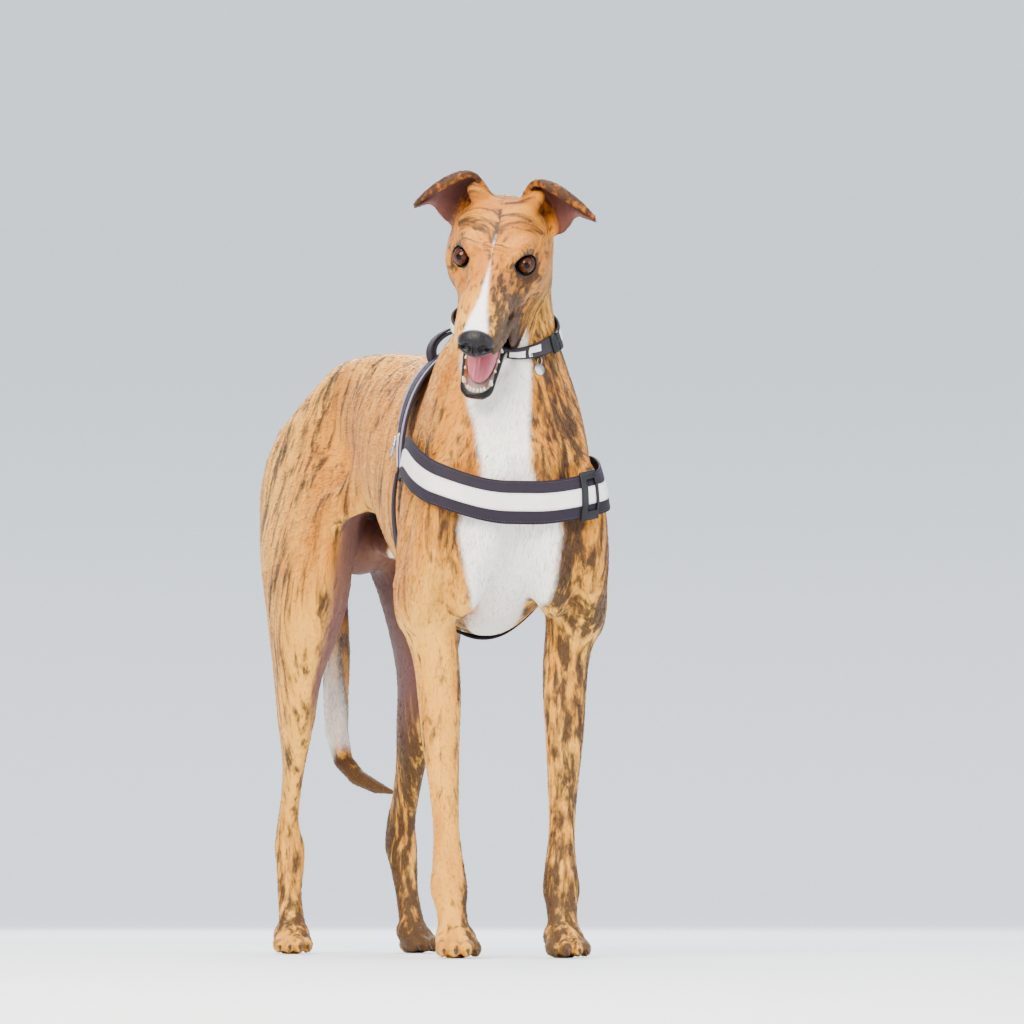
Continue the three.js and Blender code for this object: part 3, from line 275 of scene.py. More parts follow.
class Loft(Shape):
    """A trunk, neck or limb: oval sections across one axis, joined by smooth curves.

    A section: place, middle across, middle up or along, reach right, left, low or front, high or back, turn.
    """

    def __init__(self, axis: int, sections: Sequence[Sequence[float]]) -> None:
        """Args: axis is 1 for sections along Y and 2 for sections along Z; sections are the rows."""
        table = np.array(sections, dtype=float)
        self.axis = axis
        self.places = table[:, 0]
        self.rows = table[:, 1:]
        inner = (self.rows[2:] - self.rows[:-2]) / (self.places[2:] - self.places[:-2])[:, None]
        slopes = np.diff(self.rows, axis=0) / np.diff(self.places)[:, None]
        self.rise = np.concatenate([slopes[:1], inner, slopes[-1:]])
        wide = self.rows[:, 2:6].max()
        low, high = np.empty(3), np.empty(3)
        other = 3 - axis
        low[axis], high[axis] = self.places[0], self.places[-1]
        low[0], high[0] = self.rows[:, 0].min() - wide, self.rows[:, 0].max() + wide
        low[other], high[other] = self.rows[:, 1].min() - wide, self.rows[:, 1].max() + wide
        self.box = (low, high)

    def section(self, place: Array) -> Array:
        """Returns the section row at each place."""
        at = np.clip(place, self.places[0], self.places[-1])
        i = np.clip(np.searchsorted(self.places, at, side="left") - 1, 0, len(self.places) - 2)
        width = (self.places[i + 1] - self.places[i])[:, None]
        t = (at - self.places[i])[:, None] / width
        t2, t3 = t * t, t * t * t
        start, end = self.rows[i], self.rows[i + 1]
        curve = start * (2 * t3 - 3 * t2 + 1) + end * (3 * t2 - 2 * t3)
        return curve + width * (self.rise[i] * (t3 - 2 * t2 + t) + self.rise[i + 1] * (t3 - t2))

    def distance(self, points: Array) -> Array:
        """Returns the distances of the points."""
        place = points[:, self.axis]
        across, along, right, left, low, high, turn = self.section(place).T
        u = points[:, 0] - across
        v = points[:, 3 - self.axis] - along
        du = np.cos(turn) * u + np.sin(turn) * v
        dv = np.cos(turn) * v - np.sin(turn) * u
        side = oval(columns(du, dv), columns(np.where(du < 0, right, left), np.where(dv < 0, low, high)))
        end = np.maximum(self.places[0] - place, place - self.places[-1])
        return np.where(end > 0, np.hypot(np.maximum(side, 0), end), np.maximum(side, end))


class Oval(Shape):
    """An oval body with its middle, its three axes and the reach along each."""

    middle: Array
    axes: Array
    reaches: Array

    def distance(self, points: Array) -> Array:
        """Returns the distances of the points."""
        return oval((points - self.middle) @ self.axes.T, self.reaches)


class Muscle(Oval):
    """An oval belly between two ends, as thick as given and flattened from side to side."""

    def __init__(self, start: Triple, end: Triple, thick: float, flat: float = 1) -> None:
        """Args: start and end are the tips, thick is the reach across, flat its share from side to side."""
        a, b = np.array(start, dtype=float), np.array(end, dtype=float)
        self.middle = (a + b) / 2
        half = np.linalg.norm(b - a) / 2
        long = (b - a) / (2 * half)
        side = unit(np.array([1.0, 0, 0]) - long * long[0])
        self.axes = np.stack([long, np.cross(long, side), side])
        self.reaches = np.array([half, thick, thick * flat])
        self.box = (np.minimum(a, b) - thick, np.maximum(a, b) + thick)


class Egg(Oval):
    """An oval body, turned by Euler angles in degrees."""

    def __init__(self, middle: Triple, reaches: Triple, turn: Triple = (0, 0, 0)) -> None:
        """Args: middle, reaches along the three axes, and the turn about them."""
        self.middle = np.array(middle, dtype=float)
        self.reaches = np.array(reaches, dtype=float)
        self.axes = np.array(Euler([radians(a) for a in turn], "ZYX").to_matrix()).T
        reach = self.reaches.max()
        self.box = (self.middle - reach, self.middle + reach)


class Rope(Shape):
    """A tapering round rope through a row of points: (across, along, height, radius)."""

    def __init__(self, points: Sequence[Sequence[float]]) -> None:
        """Args: points are the stops of the rope."""
        self.stops = np.array(points, dtype=float)
        thick = self.stops[:, 3].max()
        self.box = (self.stops[:, :3].min(0) - thick, self.stops[:, :3].max(0) + thick)

    def distance(self, points: Array) -> Array:
        """Returns the distances of the points."""
        best = np.full(len(points), 1e4)
        for start, end in zip(self.stops[:-1], self.stops[1:]):
            span = end[:3] - start[:3]
            share = np.clip((points - start[:3]) @ span / (span @ span), 0, 1)
            gap = np.linalg.norm(points - start[:3] - share[:, None] * span, axis=1)
            best = np.minimum(best, gap - (start[3] + share * (end[3] - start[3])))
        return best


class Sheet(Shape):
    """A thin wall of even thickness round a curved grid of points."""

    def __init__(self, grid: Array, thick: float) -> None:
        """Args: grid is rows x columns x 3 in millimetres, thick the wall."""
        down, over = grid.shape[:2]
        corners = [(i * over + j, i * over + j + 1, (i + 1) * over + j + 1, (i + 1) * over + j)
                   for i in range(down - 1) for j in range(over - 1)]
        flat = grid.reshape(-1, 3)
        self.tree = BVHTree.FromPolygons([tuple(p) for p in flat], corners)
        self.thick = thick
        self.box = (flat.min(0), flat.max(0))

    def distance(self, points: Array) -> Array:
        """Returns the distances of the points."""
        find = self.tree.find_nearest
        return np.array([find(Vector(p))[3] for p in points]) - self.thick / 2


class Flesh(Shape):
    """Shapes that melt into each other, or are pressed in, in order."""

    REACH = 45.0

    def __init__(self) -> None:
        """Starts with no shape."""
        self.steps: List[Tuple[Shape, float, bool]] = []

    def add(self, shape: Shape, soft: float = 20) -> "Flesh":
        """Melts a shape on. Args: shape, soft join in millimetres. Returns the flesh."""
        self.steps.append((shape, soft, False))
        return self

    def press(self, shape: Shape, soft: float = 20) -> "Flesh":
        """Presses a shape in. Args: shape, soft join in millimetres. Returns the flesh."""
        self.steps.append((shape, soft, True))
        return self

    def distance(self, points: Array) -> Array:
        """Returns the distances of the points."""
        depth = np.full(len(points), 1e4)
        for shape, soft, hollow in self.steps:
            pick = shape.near(points, self.REACH)
            where = slice(None) if pick is None else pick
            if pick is not None and not len(pick):
                continue
            old, new = depth[where], shape.distance(points[where])
            depth[where] = -melt(-old, new, soft) if hollow else melt(old, new, soft)
        return depth


class Posed(Shape):
    """Flesh that is modelled in a frame of its own and then posed."""

    def __init__(self, flesh: Shape, matrix: Matrix, box: Tuple[Triple, Triple]) -> None:
        """Args: flesh, its matrix, and its box in its own frame."""
        self.flesh = flesh
        self.inverse = matrix.inverted()
        placed = moved(lattice(*zip(*np.array(box, dtype=float))), matrix)
        self.box = (placed.min(0), placed.max(0))

    def distance(self, points: Array) -> Array:
        """Returns the distances of the points."""
        return self.flesh.distance(moved(points, self.inverse))


def bend(points: Array) -> Array:
    """Carries the forehand round a quiet arc in the loins. Args: points in millimetres. Returns them bent."""
    run = BEND_FROM - BEND_TO
    share = np.clip((BEND_FROM - points[:, 1]) / run, 0, 1)
    angle = share * FOREHAND_TURN
    radius = run / FOREHAND_TURN
    ahead = np.maximum(BEND_TO - points[:, 1], 0)
    s, c = np.sin(angle), np.cos(angle)
    x = -radius * (1 - c) - s * ahead + c * points[:, 0]
    y = BEND_FROM - radius * s - c * ahead - s * points[:, 0]
    return np.where(share[:, None] == 0, points, columns(x, y, points[:, 2]))


# The flesh of the dog


def profile(row: Sequence[float]) -> List[float]:
    """Turns a row of place, top, widest level, low line and half width into a section."""
    place, top, level, low, half = row
    return [place, 0, level, half, half, level - low, top - level, 0]


def mirrored(point: Triple, side: int) -> Triple:
    """Returns a point of the left side on the given side."""
    return (point[0] * side, point[1], point[2])


def add_muscles(flesh: Flesh, rows: Sequence[Tuple], side: int) -> None:
    """Melts muscles on. Args: flesh, rows of start, end, thickness, flatness and soft join, and the side."""
    for start, end, thick, flat, soft in rows:
        flesh.add(Muscle(mirrored(start, side), mirrored(end, side), thick, flat), soft)


class Leg:
    """One leg with its paw."""

    def __init__(self, kind: Kind, name: str) -> None:
        """Args: kind is the pair it belongs to, name is left or right."""
        self.kind = kind
        self.name = name
        self.side = SIDES[name]
        self.sizes = (FORE_LEGS if kind is Kind.FORE else HIND_LEGS)[name]
        self.wide = 1.0 if kind is Kind.FORE else 0.9
        turn = Matrix.Rotation(radians(self.sizes.turn * self.side), 4, "Z")
        self.paw_pose = Matrix.Translation(mirrored(self.sizes.paw, self.side)) @ turn

    def bone_line(self, height: float) -> Tuple[float, float]:
        """Returns where the bone runs across and along at a height."""
        paw, low, high = self.sizes.paw, self.sizes.lower, self.sizes.upper
        start, end = (paw, low) if height < low[2] else (low, high)
        share = (height - start[2]) / (end[2] - start[2])
        rake = 0.0
        if self.kind is Kind.HIND:
            share = min(max(share, 0.0), 1.0)
            rake = max(height - high[2], 0.0) * 0.22
        return start[0] + (end[0] - start[0]) * share, start[1] + (end[1] - start[1]) * share + rake

    def shaft(self) -> Loft:
        """Returns the leg above the paw."""
        rows = []
        levels = FORE_LEVELS if self.kind is Kind.FORE else HIND_LEVELS
        for height, across, along, inner, outer, front, back in levels:
            x, y = self.bone_line(height)
            right, left = (inner, outer) if self.side > 0 else (outer, inner)
            turn = 0.0
            if self.kind is Kind.HIND:
                knee, hock = self.sizes.upper[2], self.sizes.lower[2]
                fade = min(max((knee - height) / (knee - hock), 0.0), 1.0)
                turn = radians(self.sizes.turn) * self.side * fade
            rows.append([height, self.side * (x + across), y + along, right, left, front, back, turn])
        return Loft(2, rows)

    def paw(self) -> Flesh:
        """Returns the paw in its own frame: the ankle over the origin and the toes along -Y."""
        flesh = Flesh().add(Muscle((0, 20, 12), (0, -26, 9), 14, 1.3), 1)
        for across, ahead in TOES:
            x = across * self.wide
            flesh.add(Muscle((x * 0.7, ahead + 16, 33), (x, ahead - 24, 14), 11, 0.8), 5)
            flesh.add(Muscle((x, ahead - 8, 16), (x * 1.03, ahead - 41, 8), 11, 0.8), 4)
        return flesh

    def flesh(self) -> Flesh:
        """Returns the whole leg."""
        paw = Posed(self.paw(), self.paw_pose, ((-40, -66, -4), (40, 40, 46)))
        return Flesh().add(self.shaft(), 1).add(paw, 9)


class Ear:
    """A half folded cup that opens to the front."""

    CUP = 6

    def __init__(self, name: str) -> None:
        """Args: name is left or right."""
        self.name = name
        self.side = SIDES[name]

    def grid(self, finer: int = 4) -> Array:
        """Returns the middle of the ear's wall in the frame of the head. Args: finer, steps between rows."""
        rows = []
        for upper, lower, depth, flap in EAR_ROWS:
            top, bottom = np.array(upper, dtype=float), np.array(lower, dtype=float)
            row = [top + (1, -flap * 0.75, -flap), top + (0.5, -flap * 0.6, -flap * 0.4)]
            for k in range(self.CUP + 1):
                share = k / self.CUP
                hollow = depth * max(math.sin(math.pi * share), 0.0) ** 0.8
                row.append(top + (bottom - top) * share + np.array([0.1, 0.98, 0.1]) * hollow)
            rows.append(row)
        grid = self.refine(self.refine(np.array(rows), finer).swapaxes(0, 1), finer).swapaxes(0, 1)
        raise_ear = Matrix.Rotation(radians(EAR_RAISE[self.name]), 4, Vector((0, -1, 0)))
        pivot = Matrix.Translation(EAR_PIVOT)
        flat = moved(grid.reshape(-1, 3), pivot @ raise_ear @ pivot.inverted())
        flat[:, 0] = EAR_PIVOT[0] + (flat[:, 0] - EAR_PIVOT[0]) * EAR_REACH[self.name]
        flat[:, 0] *= self.side
        return flat.reshape(grid.shape)

    @staticmethod
    def refine(rows: Array, finer: int) -> Array:
        """Runs a smooth curve through the rows. Args: rows, finer is the number of steps between two."""
        count = len(rows)
        at = np.linspace(0, count - 1, (count - 1) * finer + 1)
        i = np.minimum(at.astype(int), count - 2)
        t = (at - i)[:, None, None]
        before = rows[np.maximum(i - 1, 0)]
        after = rows[np.minimum(i + 2, count - 1)]
        start, end = rows[i], rows[i + 1]
        rise, fall = (end - before) / 2, (after - start) / 2
        t2, t3 = t * t, t * t * t
        return (start * (2 * t3 - 3 * t2 + 1) + rise * (t3 - 2 * t2 + t)
                + end * (3 * t2 - 2 * t3) + fall * (t3 - t2))


def gaze(side: int) -> Array:
    """Returns the way an eye looks, in the frame of the head."""
    return unit(np.array([side * 0.34, -0.84, 0.42]))


def eye_at(side: int) -> Array:
    """Returns the middle of an eye, in the frame of the head."""
    return np.array(mirrored(HEAD.eye, side), dtype=float)


# The hollows of the mouth in the frame of the head, and in the frame of the jaw
UPPER_MOUTH = (Egg((0, -60, -62), (19, 66, 15)), Egg((0, -52, -78), (19.5, 66, 13), (11, 0, 0)))
LOWER_MOUTH = (Egg((0, -52, -50), (19.5, 66, 11)), Egg((0, -98, -48), (17, 22, 9)))
NOSTRILS = tuple(Egg((side * 10.5, -142, -32), (5.2, 9, 5), (0, side * 30, side * 24)) for side in (1, -1))

# The tip of the sheath under the loins
SHEATH = Egg((0, 140, 494), (20, 16, 20))


def lid_slit(side: int) -> Egg:
    """Returns the opening between the lids of an eye."""
    return Egg(tuple(eye_at(side) + gaze(side) * 12), (13, 10, 10), (24, side * 10, side * 22))


class DogFlesh:
    """The fields of the whole dog: with and without its mouth and eyes opened."""

    HEAD_BOX = ((-116, -152, -125), (116, 130, 80))

    def __init__(self) -> None:
        """Lays out the trunk, neck, legs, head, jaw, ears and tail."""
        self.legs = [Leg(kind, name) for name in SIDES for kind in Kind]
        self.pose = HEAD.pose()
        self.jaw_pose = HEAD.jaw_pose()
        self.body = self.trunk()
        neck = [[h, x, (throat + crest) / 2, half, half, (crest - throat) / 2, (crest - throat) / 2, 0]
                for h, x, throat, crest, half in NECK]
        self.body.add(Loft(2, neck), 40)
        for leg in self.legs:
            self.body.add(leg.flesh(), 26 if leg.kind is Kind.FORE else 34)
        self.body.add(self.on_head(self.head()), 22)
        self.whole = Flesh()
        self.whole.steps = list(self.body.steps)
        self.whole.add(Rope(TAIL), 14)
        self.open_mouth()
        self.open_eyes()
        self.shape_nose()
        for name, side in SIDES.items():
            self.whole.add(self.on_head(Sheet(Ear(name).grid(), EAR_WALL + 2 * COAT_DEPTH)), 9)
            self.whole.add(self.on_head(Muscle((side * 33, 86, 34), (side * 38, 94, 10), 9, 0.8)), 7)

    def on_head(self, shape: Shape) -> Posed:
        """Returns a shape of the head's frame where the head is carried."""
        return Posed(shape, self.pose, self.HEAD_BOX)

    @staticmethod
    def trunk() -> Flesh:
        """Returns the trunk with its muscles."""
        flesh = Flesh().add(Loft(1, [profile(row) for row in TRUNK]), 1)
        muscles = [
            ((38, -185, 735), (86, -345, 530), 52, 0.48, 34),
            ((64, -190, 640), (110, -262, 400), 50, 0.52, 30),
            ((86, -350, 570), (105, -280, 392), 38, 0.66, 26),
            ((22, -362, 590), (58, -300, 400), 38, 0.8, 26),
            ((20, 60, 722), (24, 285, 722), 22, 0.9, 24), ((36, 215, 698), (66, 366, 590), 44, 0.45, 30),
            ((46, 50, 605), (84, 150, 545), 28, 0.42, 36),
        ]
        for side in SIDES.values():
            add_muscles(flesh, muscles, side)
        flesh.add(Muscle((0, 190, 524), (0, 290, 492), 30, 0.9), 24)
        flesh.add(Muscle((0, 144, 496), (0, 215, 532), 15, 0.8), 14)
        return flesh.press(Muscle((-3, -376, 520), (-3, -322, 430), 11, 0.8), 16)

    @staticmethod
    def head() -> Flesh:
        """Returns the head without its lower jaw, in its own frame."""
        flesh = Flesh().add(Loft(1, [profile(row) for row in SKULL]), 1)
        muscles = [
            ((46, -14, -14), (52, 62, -22), 13, 0.8, 12), ((44, 14, -34), (42, 82, -60), 24, 0.7, 16),
            ((31, -6, -48), (31, 26, -112), 24, 0.36, 14), ((31, -42, -48), (33, -30, -92), 22, 0.28, 10),
            ((20, 80, 22), (44, 72, 54), 14, 0.8, 12), ((24, -22, 18), (40, 18, 24), 9, 1, 10),
            ((21, -132, -41), (32, -40, -51), 9, 0.7, 8),
        ]
        for side in SIDES.values():
            add_muscles(flesh, muscles, side)
            flesh.press(Muscle(mirrored((34, -52, -8), side), mirrored((52, -6, -8), side), 12, 1), 16)
            flesh.add(Egg(mirrored(HEAD.eye, side), (HEAD.eye_radius + HEAD.lid,) * 3), 7)
        return flesh

    def open_mouth(self) -> None:
        """Adds the lower jaw and hollows the mouth."""
        jaw = Loft(1, [profile(row) for row in JAW])
        self.whole.add(Posed(jaw, self.jaw_pose, ((-46, -130, -100), (46, 60, -40))), 9)
        for hollow in UPPER_MOUTH:
            self.whole.press(self.on_head(hollow), 3)
        for hollow in LOWER_MOUTH:
            self.whole.press(Posed(hollow, self.jaw_pose, self.HEAD_BOX), 3)

    def open_eyes(self) -> None:
        """Parts the lids in front of the eyes."""
        for side in SIDES.values():
            self.whole.press(self.on_head(lid_slit(side)), 2)
            self.whole.press(self.on_head(Egg(tuple(eye_at(side)), (HEAD.eye_radius + 0.4,) * 3)), 1)

    def shape_nose(self) -> None:
        """Gives the muzzle its nose pad with nostrils, and a groove under it."""
        self.whole.add(self.on_head(Egg((0, -130, -31), (21.5, 12.5, 18))), 3)
        for side, nostril in zip(SIDES.values(), NOSTRILS):
            slot = Egg((side * 17, -137, -34), (6.5, 6, 1.6), (0, side * 26, side * 10))
            self.whole.press(self.on_head(nostril), 2).press(self.on_head(slot), 2)
        self.whole.press(self.on_head(Egg((0, -143, -41), (1.2, 5, 14))), 1.5)

    def skin_depth(self, points: Array) -> Array:
        """Returns the field of the skin: the flesh less the coat, flat where the soles stand."""
        depth = self.whole.distance(points) + COAT_DEPTH
        return np.maximum(depth, 0.4 - points[:, 2])

    @staticmethod
    def slope(depth: Callable[[Array], Array], points: Array, step: float = 0.6) -> Array:
        """Returns the way out of a field at points on it. Args: depth is the field, step the probe."""
        total = np.zeros_like(points)
        for corner in ((1, -1, -1), (-1, -1, 1), (-1, 1, -1), (1, 1, 1)):
            way = np.array(corner, dtype=float)
            total += way * depth(points + way * step)[:, None]
        return unit(total)


# From field to skin


@dataclass(frozen=True)
class Lens:
    """Draws the head larger in the grid, so that its skin is finer than the rest."""

    middle: Triple
    radius: float = 135
    power: float = 3.0
    ease: float = 45

    def outward(self, reach: Array) -> Array:
        """Returns how far from the middle a distance lies in the grid."""
        past = np.maximum(reach - self.radius, 0)
        extra = (self.power - 1) * self.ease * (1 - np.exp(-past / self.ease))
        return np.minimum(reach, self.radius) * self.power + past + extra

    def to_grid(self, points: Array) -> Array:
        """Returns points of the dog in the grid."""
        offset = points - self.middle
        reach = np.linalg.norm(offset, axis=1, keepdims=True)
        return unit(offset) * self.outward(reach) + self.middle

    def to_dog(self, points: Array) -> Array:
        """Returns points of the grid on the dog."""
        samples = np.linspace(0, 1800, 7201)
        offset = points - self.middle
        reach = np.interp(np.linalg.norm(offset, axis=1), self.outward(samples), samples)
        return unit(offset) * reach[:, None] + self.middle


@dataclass
class SkinMesh:
    """The skin of the straight dog in millimetres."""

    points: Array
    quads: Array
    normals: Array


class SkinMaker:
    """Turns the field into one closed mesh."""

    LOW = np.array([-132.0, -520.0, -6.0])
    HIGH = np.array([132.0, 440.0, 935.0])
    BLOCK = 4

    def __init__(self, flesh: DogFlesh, step: float) -> None:
        """Args: flesh of the dog, step of the grid in millimetres."""
        self.flesh = flesh
        self.step = step
        self.lens = Lens(tuple(moved(np.array([[0.0, -10, -25]]), flesh.pose)[0]))

    def field_grid(self) -> Tuple[Array, Array]:
        """Works out the field on a grid, closely only near the skin. Returns the grid's corner and values."""
        edges = np.linspace(0, 1, 15)
        box = lattice(edges, edges, edges)
        reach = self.lens.to_grid(self.LOW + box * (self.HIGH - self.LOW))
        low = reach.min(0) - 2 * self.step
        wide = self.step * self.BLOCK
        count = np.ceil((reach.max(0) + 2 * self.step - low) / wide).astype(int) + 1
        index = lattice(*[np.arange(n) for n in count])
        centres = self.lens.to_dog(low + (index + 0.5) * wide - self.step / 2)
        depth = self.flesh.skin_depth(centres)
        inside = np.all((centres > self.LOW - 20) & (centres < self.HIGH + 20), axis=1)
        spread = np.linalg.norm(centres - self.lens.middle, axis=1)
        local = np.where(spread < self.lens.radius, self.lens.power, 1.0)
        close = inside & (np.abs(depth) < wide * 1.25 / local + 3)
        values = depth.reshape(count)
        for axis in range(3):
            values = np.repeat(values, self.BLOCK, axis)
        values = values.astype(np.float32)
        cell = lattice(*[np.arange(self.BLOCK)] * 3)
        nodes = (index[close][:, None, :] * self.BLOCK + cell[None]).reshape(-1, 3)
        LOG.info("grid %s, %d blocks close to the skin", count, close.sum())
        for part in np.array_split(nodes, max(len(nodes) // 120000, 1)):
            fine = self.flesh.skin_depth(self.lens.to_dog(low + part * self.step))
            values[part[:, 0], part[:, 1], part[:, 2]] = fine
        return low, values

    def make(self) -> SkinMesh:
        """Returns the skin, with its points drawn exactly onto the field."""
        low, values = self.field_grid()
        grid = openvdb.FloatGrid()
        grid.copyFromArray(values)
        points, quads = grid.convertToQuads()
        points = self.lens.to_dog(points.astype(float) * self.step + low)
        points, quads = self.largest(points, quads[:, ::-1].astype(int))
        depth = self.flesh.skin_depth
        for _ in range(2):
            normals = self.flesh.slope(depth, points)
            pull = np.clip(depth(points), -2.5, 2.5)
            points = points - normals * pull[:, None] * 0.9
        return SkinMesh(points, quads, self.flesh.slope(depth, points))

    @staticmethod
    def largest(points: Array, quads: Array) -> Tuple[Array, Array]:
        """Keeps the largest closed surface. Args: points and quads. Returns them."""
        label = np.arange(len(points))
        while True:
            low = label[quads].min(1)
            new = label.copy()
            for k in range(4):
                np.minimum.at(new, quads[:, k], low)
            new = new[new]
            if np.array_equal(new, label):
                break
            label = new
        main = np.bincount(label[quads[:, 0]]).argmax()
        kept = quads[label[quads[:, 0]] == main]
        used = np.unique(kept)
        place = np.zeros(len(points), dtype=int)
        place[used] = np.arange(len(used))
        return points[used], place[kept]


def place_offset() -> Array:
    """Returns how far the bent dog moves to stand over the origin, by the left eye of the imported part."""
    low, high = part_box("eye_left")
    middle = (np.array(low) + np.array(high)) / 2 / MM
    own = bend(moved(eye_at(1)[None], HEAD.pose()))[0]
    return np.array([middle[0] - own[0], middle[1] - own[1], 0.0])


def in_scene(points: Array) -> Array:
    """Returns points of the straight dog in millimetres as places in the scene."""
    return (bend(points) + place_offset()) * MM


def mesh_piece(name: str, points: Array, faces: Array) -> Piece:
    """Makes a mesh. Args: name, points in millimetres on the straight dog, faces. Returns the piece."""
    mesh = bpy.data.meshes.new(name)
    mesh.vertices.add(len(points))
    mesh.vertices.foreach_set("co", in_scene(points).ravel())
    mesh.loops.add(faces.size)
    mesh.loops.foreach_set("vertex_index", faces.ravel().astype(np.int32))
    mesh.polygons.add(len(faces))
    mesh.polygons.foreach_set("loop_start", np.arange(len(faces), dtype=np.int32) * faces.shape[1])
    mesh.update(calc_edges=True)
    mesh.validate()
    piece = bpy.data.objects.new(name, mesh)
    bpy.context.scene.collection.objects.link(piece)
    return piece


def set_values(piece: Piece, name: str, values: Array) -> None:
    """Stores a number or vector per point. Args: piece, attribute name, values."""
    kind, key = ("FLOAT", "value") if values.ndim == 1 else ("FLOAT_VECTOR", "vector")
    layer = piece.data.attributes.new(name, kind, "POINT")
    layer.data.foreach_set(key, values.astype(np.float32).ravel())


# Markings and the lie of the coat


def nearest(shapes: Sequence[Shape], points: Array) -> Array:
    """Returns the distances of the points from the nearest of some shapes."""
    return np.minimum.reduce([shape.distance(points) for shape in shapes])


